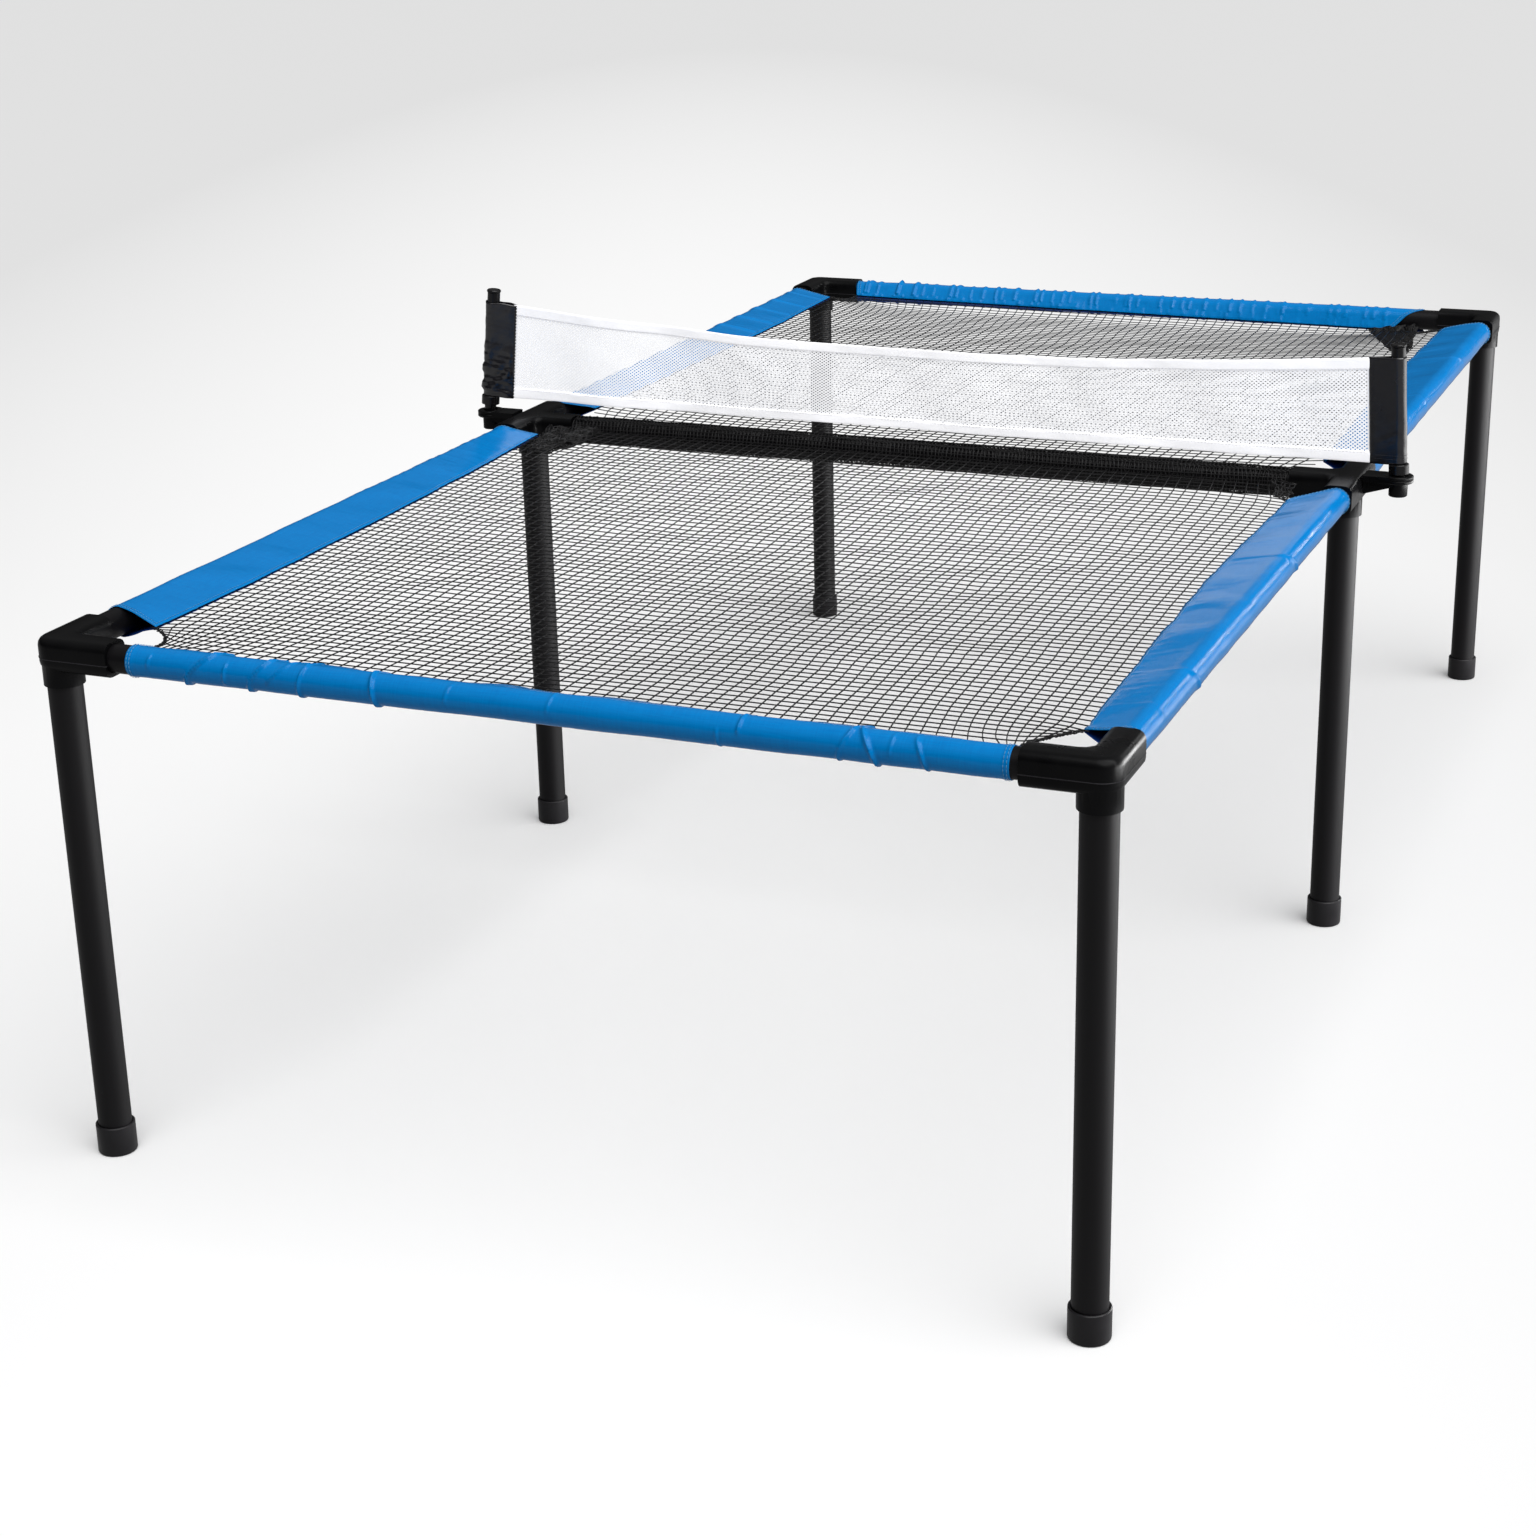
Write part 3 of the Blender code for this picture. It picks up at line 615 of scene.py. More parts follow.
def hem_stitches(name, points, rows, first, sizes, along):
    """Rings of stitches round a sleeve's two cut ends, just outside the given rows of its points."""
    made = []
    for tag, row in zip("abcd", rows, strict=True):
        ring = points[row, first : TOP_STEPS + ROUND_STEPS - 2]
        middle = points[row, TOP_STEPS : TOP_STEPS + ROUND_STEPS].mean(axis=0)
        ring = ring + 0.5 * MM * unit(ring - middle)
        made.append(stitches(f"{name}_hem_stitches_{tag}", ring, "blue_thread", *sizes, along))
    return made


def reach_curve(places, values):
    """A smooth function of the place along a sleeve, through the values at some places."""

    def reach(s):
        fine = np.linspace(places[0], places[-1], 60)
        bent = np.interp(fine, places, values)
        for _ in range(6):
            bent[1:-1] = (bent[:-2] + 2 * bent[1:-1] + bent[2:]) / 4
        return np.interp(s, fine, bent)

    return reach


# Each side sleeve: its ends along Y at the tube and at the seam, and how far in its seam lies.
side_sleeves = {
    ("near", "left"): dict(
        starts=(-0.6600, -0.6740), stops=(-0.0520, -0.0440),
        reach=reach_curve([-0.674, -0.577, -0.468, -0.331, -0.168, -0.039],
                          [0.0415, 0.0450, 0.0455, 0.0440, 0.0380, 0.0300]),
    ),
    ("near", "right"): dict(
        starts=(-0.6845, -0.6740), stops=(-0.0515, -0.0720),
        reach=reach_curve([-0.674, -0.602, -0.447, -0.293, -0.172, -0.073],
                          [0.0310, 0.0335, 0.0385, 0.0410, 0.0380, 0.0360]),
    ),
    ("far", "left"): dict(
        starts=(0.0530, 0.0700), stops=(0.6740, 0.6720),
        reach=reach_curve([0.05, 0.2, 0.35, 0.5, 0.68], [0.034, 0.039, 0.043, 0.044, 0.040]),
    ),
    ("far", "right"): dict(
        starts=(0.0540, 0.0700), stops=(0.6780, 0.6740),
        reach=reach_curve([0.05, 0.2, 0.35, 0.5, 0.68], [0.036, 0.040, 0.043, 0.042, 0.038]),
    ),
}
side_creases = {
    ("near", "right"): [
        dict(at=-0.545, lean=-0.012, height=1.7 * MM, width=1.5 * MM, low=0.15, high=0.95),
        dict(at=-0.245, lean=-0.020, height=1.7 * MM, width=1.5 * MM, low=0.15, high=0.98),
        dict(at=-0.640, lean=0.010, height=0.4 * MM, width=1.6 * MM, low=0.5),
    ],
    ("near", "left"): [
        dict(at=-0.072 - 0.021 * i, lean=0.016 - 0.003 * (i % 3), height=(0.42 - 0.02 * i) * MM,
             width=1.5 * MM, low=0.35 + 0.1 * (i % 2))
        for i in range(12)
    ],
    ("far", "left"): [
        dict(at=0.09 + 0.025 * i, lean=0.012 * (-1) ** i, height=0.8 * MM, width=1.4 * MM,
             low=0.4, high=1.1)
        for i in range(23)
    ],
    ("far", "right"): [
        dict(at=at, lean=lean, height=0.5 * MM, width=1.5 * MM, low=0.4)
        for at, lean in ((0.30, 0.02), (0.52, -0.02))
    ],
}
seams = {}  # the inner edge of each side sleeve, where the netting is sewn in


def level_seam(s):
    return np.full_like(s, SEAM_Z - AXIS_Z)


def far_end_seam(s):
    """The far end sleeve's seam is pulled round to the inner side of its tube, lower to the right."""
    return np.interp(s, [-0.34, -0.10, 0.30], [-2.5 * MM, -5.0 * MM, -9.0 * MM])


for number, ((end, where), shape) in enumerate(side_sleeves.items()):
    name = f"side_sleeve_{end}_{where}"
    sx = SIDES[where]
    piece, points = sleeve(
        name, (sx * RAIL_X, 0, AXIS_Z), (-sx, 0, 0), (0, 1, 0), shape["starts"], shape["stops"],
        shape["reach"], level_seam, 0.05 * MM, side_creases[end, where], 20 + 3 * number, 1.3 * MM,
    )
    seams[end, where] = points[:, 0]
    seam = points[:, 1] + (0.0, 0.0, 0.5 * MM)
    extras = [stitches(name + "_seam_stitches", seam, "blue_thread", 3.2, 2.5, 0.20)]
    extras += hem_stitches(name, points, (1, 3, -2, -4), 1, (3.2, 2.6, 0.22), (0, 1, 0))


def end_crease(at, lean, height, width, low=0.0, high=1.0):
    """A fold across an end sleeve; height and width are shares of a plain fold's."""
    return dict(
        at=at, lean=lean, height=height * 2.1 * MM, width=width * 0.75 * MM, low=low, high=high
    )


# Where the folds cross the near end sleeve, from left to right, and how far their tops lean.
near_folds = [
    end_crease(-0.269, 0.022, 1.5, 1.3),
    end_crease(-0.300, 0.004, 0.5, 1.0, 0.35, 0.75),
    end_crease(-0.237, 0.002, 0.7, 0.9, 0.12, 0.75),
    end_crease(-0.218, 0.015, 1.3, 1.1),
    end_crease(-0.206, 0.020, 0.8, 0.9, 0.3),
    end_crease(-0.178, 0.004, 1.0, 1.0),
    end_crease(-0.1185, -0.004, 1.3, 1.1),
    end_crease(-0.066, 0.004, 0.4, 1.0, 0.3, 0.9),
    end_crease(0.010, 0.003, 0.35, 1.0, 0.4),
    end_crease(0.132, 0.0, 0.5, 0.9, 0.0, 0.5),
    end_crease(0.146, 0.002, 0.8, 0.9, 0.45),
    end_crease(0.214, 0.010, 0.9, 1.0),
    end_crease(0.240, -0.012, 1.3, 1.1),
    end_crease(0.249, 0.002, 0.4, 0.9, 0.3, 0.9),
    end_crease(0.273, -0.009, 0.8, 0.9, 0.0, 0.9),
]
FAR_FOLDS = 46
draw = np.random.default_rng(7)
far_folds = [
    end_crease(
        -0.325 + 0.62 * (i + draw.uniform(-0.35, 0.35)) / FAR_FOLDS, draw.uniform(-0.010, 0.004),
        draw.uniform(0.4, 1.1) * (1 - 0.5 * i / FAR_FOLDS), draw.uniform(0.9, 1.8),
        high=draw.uniform(1.0, 1.1),
    )
    for i in range(FAR_FOLDS)
]
end_sleeves = {
    "near": dict(starts=(-0.3175, -0.3150), stops=(0.3270, 0.3250), folds=near_folds,
                 seam=level_seam, step=0.75 * MM,
                 reach=reach_curve([-0.32, 0.0, 0.33], [0.020, 0.022, 0.020])),
    "far": dict(starts=(-0.3350, -0.3300), stops=(0.3160, 0.2850), folds=far_folds,
                seam=far_end_seam, step=1.0 * MM,
                reach=reach_curve([-0.34, 0.0, 0.32], [0.0170, 0.0165, 0.0150])),
}
for number, (end, shape) in enumerate(end_sleeves.items()):
    name = f"end_sleeve_{end}"
    sy = ENDS[end]
    piece, points = sleeve(
        name, (0, sy * RAIL_Y, AXIS_Z), (0, -sy, 0), (1, 0, 0), shape["starts"], shape["stops"],
        shape["reach"], shape["seam"], 0.10 * MM, shape["folds"], 50 + 3 * number, shape["step"],
    )
    extras = hem_stitches(name, points, (2, 5, -3, -6), 4, (3.0, 2.5, 0.24), (1, 0, 0))


# ---------------- netting

STRAND_R, KNOT_R = 0.50 * MM, 0.70 * MM
TUCK = 4.0 * MM  # how far strands run on under the sleeves


def relaxed(grid, rounds=1500):
    """A net held at its edge knots: each knot inside settles between its four neighbours."""
    rows, columns = grid.shape[:2]
    u = np.linspace(0, 1, columns)[None, :, None]
    v = np.linspace(0, 1, rows)[:, None, None]
    coons = (1 - v) * grid[:1] + v * grid[-1:] + (1 - u) * grid[:, :1] + u * grid[:, -1:]
    coons = coons - (1 - u) * (1 - v) * grid[0, 0] - u * (1 - v) * grid[0, -1]
    coons = coons - (1 - u) * v * grid[-1, 0] - u * v * grid[-1, -1]
    grid[1:-1, 1:-1] = coons[1:-1, 1:-1]
    for _ in range(rounds):
        grid[1:-1, 1:-1] = (
            grid[:-2, 1:-1] + grid[2:, 1:-1] + grid[1:-1, :-2] + grid[1:-1, 2:]
        ) / 4
    return grid


def spaced_edge(parts):
    """Knots along one edge: parts are (path, knots on it), each part starting where one ended."""
    line = []
    for path, count in parts:
        piece = resampled(path, count + 1)
        line.append(piece if not line else piece[1:])
    return np.concatenate(line)


def netting(near, far, left, right, seed, sag, droop):
    """Square netting between four edges of knots. near and far run with +X, left and right +Y."""
    grid = np.zeros((len(left), len(near), 3))
    grid[0], grid[-1], grid[:, 0], grid[:, -1] = near, far, left, right
    grid = relaxed(grid)
    rows, columns = grid.shape[:2]
    u = np.linspace(0, 1, columns)[None]
    v = np.linspace(0, 1, rows)[:, None]
    loose = 16 * u * (1 - u) * v * (1 - v)
    held = np.minimum(1, 2.5 * loose)
    broad = Ripples(seed, 0.16, 0.40, 8)
    middling = Ripples(seed + 1, 0.05, 0.12, 12)
    small = Ripples(seed + 2, 0.012, 0.03, 16)
    x, y = grid[..., 0].copy(), grid[..., 1].copy()
    for axis, shift in ((0, 0.0), (1, 5.0)):
        wave = 1.5 * broad(x + shift, y) + 0.55 * middling(x, y + shift)
        grid[..., axis] += held * wave * MM + 0.28 * MM * small(x + shift, y) * held
    fall = smoothstep(0.45, 0.95, v) * np.sin(math.pi / 2 * np.clip((1 - v) / 0.06, 0, 1))
    grid[..., 2] -= sag * loose + droop * fall * np.minimum(1, 8 * u * (1 - u))
    grid[..., 2] += 0.35 * MM * middling(x, y + 9.0) * held
    return grid


def run_on(line, by):
    """A strand with its ends carried on a little further."""
    first = line[0] + unit(line[0] - line[1]) * by
    last = line[-1] + unit(line[-1] - line[-2]) * by
    return np.concatenate([[first], line, [last]])


def knot_arrays(places, radius):
    corners = np.array(
        [(1, 0, 0), (0, 1, 0), (-1, 0, 0), (0, -1, 0), (0, 0, 0.85), (0, 0, -0.85)], float
    )
    shape = [(0, 1, 4), (1, 2, 4), (2, 3, 4), (3, 0, 4), (1, 0, 5), (2, 1, 5), (3, 2, 5), (0, 3, 5)]
    points = (places[:, None] + radius * corners[None]).reshape(-1, 3)
    faces = [tuple(6 * i + k for k in face) for i in range(len(places)) for face in shape]
    return points, faces


def strands(grid):
    """Strands along a grid's inner rows and columns, with a knot at each crossing."""
    rows, columns = grid.shape[:2]
    lines = [grid[i] for i in range(1, rows - 1)] + [grid[:, j] for j in range(1, columns - 1)]
    parts = [tube_arrays(run_on(line, TUCK), STRAND_R, 4) for line in lines]
    return parts + [knot_arrays(grid[1:-1, 1:-1].reshape(-1, 3), KNOT_R)]


def twisted(name, path, look, count, radius, spread, turns, jitter, seed):
    """Strands twisted round a path into a cord, loosely where spread is large."""
    path = resampled(path, step=1.2 * MM)
    along = np.linspace(0, 1, len(path))
    tangent = unit(np.gradient(path, axis=0))
    side = unit(np.cross(UP, tangent))
    over = np.cross(tangent, side)
    draw = np.random.default_rng(seed)
    lines = []
    for i in range(count):
        turn = 2 * math.pi * (turns * along + i / count) + draw.uniform(-0.4, 0.4)
        wobble = Ripples(seed + 10 * i, 0.01, 0.03, 6)
        wide = spread * (1 + jitter * wobble(along * 0.1, 0.0))
        lines.append(
            path + side * (wide * np.cos(turn))[:, None] + over * (wide * np.sin(turn))[:, None]
        )
    return tubes_piece(name, [tube_arrays(line, radius, 6) for line in lines], look, "frame")


def between(a, b, bulge=(0.0, 0.0, 0.0), count=12):
    """A curve from a to b that bows out by bulge in the middle."""
    t = np.linspace(0, 1, count)[:, None]
    return a + (b - a) * t + 4 * t * (1 - t) * np.array(bulge)


WRAP_EDGE_Y = 12.6 * MM
WRAP_X = 0.330
WRAP_Z = AXIS_Z + 2.5 * MM
UNDER = np.array([0.0, 0.0, -0.7 * MM])
SIDE_ROWS, CORNER_ROWS, CORNER_COLUMNS = 64, 6, 3
BUNCH, BUNCH_COLUMNS = 20 * MM, 4
END_COLUMNS = 57

# Along each end: where the netting starts and stops, how far in from the rail, and on which seam.
netting_ends = {
    "near": dict(left_end=-0.3150, right_end=0.3245, inset=22 * MM, end_rise=level_seam),
    "far": dict(left_end=-0.3300, right_end=0.2950, inset=16 * MM, end_rise=far_end_seam),
}
SAG_AND_DROOP = {"near": (3.0 * MM, 0.0), "far": (6.0 * MM, 5.0 * MM)}


def netting_edges(end, left_end, right_end, inset, end_rise):
    """The four edges of a panel, from the cross rail to the end rail, and its two corner hems."""
    sy = ENDS[end]
    end_y = sy * (RAIL_Y - inset)

    def end_point(x):
        return np.array([x, end_y, AXIS_Z + float(end_rise(np.array([x]))[0]) - 0.8 * MM])

    wrap = {w: np.array([SIDES[w] * WRAP_X, sy * WRAP_EDGE_Y, WRAP_Z]) for w in SIDES}
    stops = {"left": end_point(left_end), "right": end_point(right_end)}
    sides, hems = {}, {}
    for where, sx in SIDES.items():
        seam = seams[end, where] + UNDER
        seam = seam if sy > 0 else seam[::-1]
        corner = seam[-1]
        bulge = (-sx * 5 * MM, -sy * 5 * MM, -2 * MM)
        hem = between(corner, stops[where], bulge, 25)
        hems[where] = hem
        sides[where] = spaced_edge([
            (between(wrap[where], seam[0], (-sx * 4 * MM, sy * 3 * MM, -1 * MM)), 4),
            (seam, SIDE_ROWS),
            (hem[:13], CORNER_ROWS),
        ])
    xs = [left_end, left_end + BUNCH, right_end - 0.7 * BUNCH, right_end]
    runs = [np.array([end_point(x) for x in np.linspace(a, b, 20)]) for a, b in zip(xs, xs[1:])]
    outer = spaced_edge([
        (hems["left"][12:], CORNER_COLUMNS),
        (runs[0], BUNCH_COLUMNS),
        (runs[1], END_COLUMNS),
        (runs[2], BUNCH_COLUMNS - 1),
        (hems["right"][12:][::-1], CORNER_COLUMNS),
    ])
    inner = resampled(between(wrap["left"], wrap["right"]), len(outer))
    return inner, outer, sides, hems


for number, (end, ends) in enumerate(netting_ends.items()):
    inner, outer, sides, hems = netting_edges(end, **ends)
    grid = netting(inner, outer, sides["left"], sides["right"], 70 + 5 * number,
                   *SAG_AND_DROOP[end])
    name = f"netting_{end}"
    piece = tubes_piece(name + "_strands", strands(grid), "netting", "frame", name)
    extras = [
        twisted(f"{name}_hem_{where}", hems[where], "netting", 3, 0.55 * MM, 0.75 * MM, 7,
                0.6, 90 + number)
        for where in SIDES
    ]


# ---------------- gathered netting


def gather(name, corners, rows, columns, layers, seed, rough):
    """Netting bunched up into a small patch, in a few crumpled layers. corners go round it."""
    a, b, c, d = (np.asarray(p, float) for p in corners)
    parts = []
    for layer in range(layers):
        waves = [Ripples(seed + 10 * layer + k, 0.008, 0.03, 10) for k in range(3)]
        u = np.linspace(0, 1, columns)[None, :, None]
        v = np.linspace(0, 1, rows)[:, None, None]
        grid = (1 - v) * ((1 - u) * a + u * b) + v * ((1 - u) * d + u * c)
        x, y = grid[..., 0].copy(), grid[..., 1].copy()
        for axis, size in enumerate((1.6, 1.6, rough)):
            grid[..., axis] += size * MM * waves[axis](x, y)
        grid[..., 2] -= 1.5 * MM * layer
        lines = [grid[i] for i in range(rows)] + [grid[:, j] for j in range(columns)]
        parts += [tube_arrays(line, 0.5 * MM, 4) for line in lines]
    tubes_piece(name, parts, "netting", "frame")


gather(
    "netting_near_gather_left",
    [(-0.356, -0.018, SEAM_Z + 1 * MM), (-0.306, -0.016, SEAM_Z + 4 * MM),
     (-0.304, -0.060, SEAM_Z), (-0.334, -0.106, SEAM_Z - 1 * MM)],
    26, 18, 3, 200, 2.0,
)
gather(
    "netting_near_gather_right",
    [(0.324, -0.016, SEAM_Z + 2 * MM), (0.344, -0.022, SEAM_Z),
     (0.347, -0.074, SEAM_Z - 1 * MM), (0.335, -0.058, SEAM_Z - 1 * MM)],
    12, 6, 1, 240, 1.0,
)
gather(
    "netting_far_gather_right",
    [(0.262, RAIL_Y - 0.018, AXIS_Z - 8 * MM), (0.312, RAIL_Y - 0.014, AXIS_Z - 3 * MM),
     (0.306, RAIL_Y - 0.026, AXIS_Z - 24 * MM), (0.290, RAIL_Y - 0.028, AXIS_Z - 27 * MM)],
    20, 24, 4, 260, 1.2,
)


# ---------------- netting round the cross rail


def wrap_layer(radius, rings, lines, twist, seed, half):
    """Strands of a net sleeve round the cross rail: rings round it and lines along it."""
    steps = 14
    loose = Ripples(seed, 0.03, 0.12, 10)
    uneven = Ripples(seed + 1, 0.01, 0.03, 10)

    def point(x, turn):
        belly = 0.7 * MM * np.clip(-np.sin(turn), 0, 1) * (1 - (x / half) ** 2)
        r = radius + belly + 0.35 * MM * (1 + loose(x, 0.03 * turn)) / 2
        y, z = r * np.cos(turn), r * np.sin(turn)
        return np.stack(np.broadcast_arrays(x + 0.8 * MM * uneven(x, 0.05 * turn), y, z), -1)

    parts = []
    turn = np.linspace(0, 2 * math.pi, steps + 1)
    for x in np.linspace(-half, half, rings):
        ring = point(x + twist * np.cos(turn), turn)
        ring[-1] = ring[0]
        parts.append(tube_arrays(ring, 0.5 * MM, 4, (1, 0, 0)))
    x = np.linspace(-half, half, rings)
    for start in np.arange(lines) * 2 * math.pi / lines:
        parts.append(tube_arrays(point(x, start + 0.2 * np.sin(x * 9)), 0.5 * MM, 4))
    return parts


half = (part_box("centre_wrap")[1].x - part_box("centre_wrap")[0].x) / 2
parts = wrap_layer(RAIL_R + 0.8 * MM, 190, 13, 1.5 * MM, 300, half)
parts += wrap_layer(RAIL_R + 1.6 * MM, 190, 12, -2.5 * MM, 310, half - 1 * MM)
parts = [(points + (0, 0, AXIS_Z), faces) for points, faces in parts]
wrap = tubes_piece("centre_wrap_strands", parts, "wrap", "frame", "centre_wrap")
for tag, y, z in (("near", -6.0, 10.5), ("far", 7.0, 10.2)):
    line = np.array([(x, y * MM, AXIS_Z + z * MM) for x in np.linspace(-half, half, 90)])
    wave = Ripples(330, 0.02, 0.06, 8)
    line[:, 2] += 0.5 * MM * wave(line[:, 0], y)
    line[:, 1] += 0.7 * MM * wave(line[:, 0], y + 3)
    twisted(f"centre_wrap_hem_{tag}", line, "wrap", 2, 0.5 * MM, 0.6 * MM, 90,
            0.5, 331)


# ---------------- white net

posts = {}
for joint in frame["joints"]:
    if joint["name"].startswith("post_"):
        where = joint["name"].split("_")[1]
        axis = unit(np.array(joint["axis"], float))
        inward = -SIDES[where] * np.array([axis[2], 0.0, -axis[0]])
        posts[where] = (np.array(joint["pos_m"], float), axis, inward)

NET_LOW, NET_HIGH = 10.2 * MM, 98.0 * MM  # up each post, from its foot
NET_END = 22.5 * MM
TOP_TAPE, BOTTOM_TAPE = 10.0 * MM, 9.5 * MM
TOP_SAG, BOTTOM_SAG = 18.0 * MM, 1.0 * MM
net_wave = Ripples(400, 0.10, 0.30, 8)
net_small = Ripples(401, 0.03, 0.08, 10)


def net_place(t, up):
    """Where the net is, t of the way from the left post to the right, up metres from its foot."""
    t, up = np.broadcast_arrays(np.asarray(t, float), np.asarray(up, float))
    ends = []
    for where in SIDES:
        foot, axis, inward = posts[where]
        ends.append(foot + inward * NET_END + axis * up[..., None])
    share = (up - NET_LOW) / (NET_HIGH - NET_LOW)
    place = ends[0] + (ends[1] - ends[0]) * t[..., None]
    place[..., 2] -= 4 * t * (1 - t) * (BOTTOM_SAG + (TOP_SAG - BOTTOM_SAG) * np.clip(share, 0, 1))
    free = np.minimum(1, 12 * t * (1 - t))
    place[..., 1] += free * MM * (2.0 * net_wave(0.8 * t, 0.8 * up) + 0.3 * net_small(0.8 * t, up))
    return place


SPAN = np.linalg.norm(net_place(1.0, NET_LOW) - net_place(0.0, NET_LOW))
HOLE_A, HOLE_B = 3.85 * MM, 1.55 * MM  # holes in one row, and from row to row
HOLE_R = 0.72 * MM


def perforated_net():
    """The cloth between the tapes: staggered holes, each in its own six-sided cell."""
    low, high = NET_LOW + BOTTOM_TAPE - 1 * MM, NET_HIGH - TOP_TAPE + 1 * MM
    columns, rows = int(SPAN / HOLE_A), int((high - low) / HOLE_B)
    a, b = SPAN / columns, (high - low) / rows
    cell = [(0, 2 / 3 * b), (a / 2, b / 3), (a / 2, -b / 3), (0, -2 / 3 * b), (-a / 2, -b / 3),
            (-a / 2, b / 3)]
    index, flat, faces = {}, [], []

    def vertex(x, y):
        x, y = min(max(x, 0.0), SPAN), min(max(y, 0.0), high - low)
        key = (round(x / a * 6), round(y / b * 6))
        if key not in index:
            index[key] = len(flat)
            flat.append((x, y))
        return index[key]

    for j in range(rows + 1):
        for i in range(columns + 1):
            x, y = (i + 0.5 * (j % 2)) * a, j * b
            if x > SPAN + 1e-9:
                continue
            ring = [vertex(x + dx, y + dy) for dx, dy in cell]
            solid = i == 0 or x > SPAN - a or j == 0 or j == rows
            if solid:
                if len(set(ring)) > 2:
                    faces.append(tuple(dict.fromkeys(ring)))
                continue
            start = len(flat)
            for k in range(6):
                turn = math.pi / 2 - k * math.pi / 3
                flat.append((x + 1.12 * HOLE_R * math.cos(turn), y + 0.92 * HOLE_R * math.sin(turn)))
            for k in range(6):
                n = (k + 1) % 6
                faces.append((ring[k], ring[n], start + n, start + k))
    flat = np.array(flat)
    points = net_place(flat[:, 0] / SPAN, low + flat[:, 1])
    return points, faces, flat


points, faces, flat = perforated_net()
net = mesh_object("net_cloth", points, faces, [looks["white"]], flat)
attach(net, "net", "net_mesh")


def tape(node, open_edge, fold_edge, seed):
    """A binding folded in half over the net's edge, from its one open edge round to the other."""
    along, fold_steps, thick = 260, 7, 0.55 * MM
    t = np.linspace(-0.001, 1.001, along)
    turn = np.linspace(-math.pi / 2, math.pi / 2, fold_steps)
    sign = 1 if fold_edge > open_edge else -1
    near_fold = fold_edge - sign * thick
    flat_part = np.linspace(open_edge, near_fold, 6, endpoint=False)
    ups = np.concatenate([flat_part, near_fold + sign * thick * np.cos(turn), flat_part[::-1]])
    outs = np.concatenate([np.full(6, -thick), thick * np.sin(turn), np.full(6, thick)])
    outs[[0, -1]] *= 0.4
    girth = run_along(np.stack([ups, outs], -1))
    wave = Ripples(seed, 0.01, 0.05, 10)
    lines = []
    for up, out in zip(ups, outs, strict=True):
        line = net_place(t, np.full_like(t, up))
        line[:, 1] += out * (1 + 0.25 * wave(0.8 * t, up))
        lines.append(line)
    grid = np.stack(lines, axis=1)
    faces = grid_faces(along, len(ups))
    if sign > 0:
        faces = [face[::-1] for face in faces]
    uvs = np.stack(np.broadcast_arrays(SPAN * t[:, None], girth[None]), -1)
    piece = mesh_object(node + "_cloth", grid.reshape(-1, 3), faces, [looks["tape"]],
                        uvs.reshape(-1, 2))
    solidified(piece, 0.3 * MM)
    return attach(piece, "net", node), girth[-1]


tapes = [
    tape("net_top_tape", NET_HIGH - TOP_TAPE, NET_HIGH, 410),
    tape("net_bottom_tape", NET_LOW + BOTTOM_TAPE, NET_LOW, 420),
]
seam_in = 1.3 * MM
for tag, up in (("top", NET_HIGH - TOP_TAPE + seam_in), ("bottom", NET_LOW + BOTTOM_TAPE - seam_in)):
    line = net_place(np.linspace(0.002, 0.998, 400), np.full(400, up)) - (0, 0.85 * MM, 0)
    stitches(f"net_{tag}_tape_stitches", line, "white_thread", 3.0, 2.3, 0.16,
                                (0, 1, 0), "net", "net_tape")


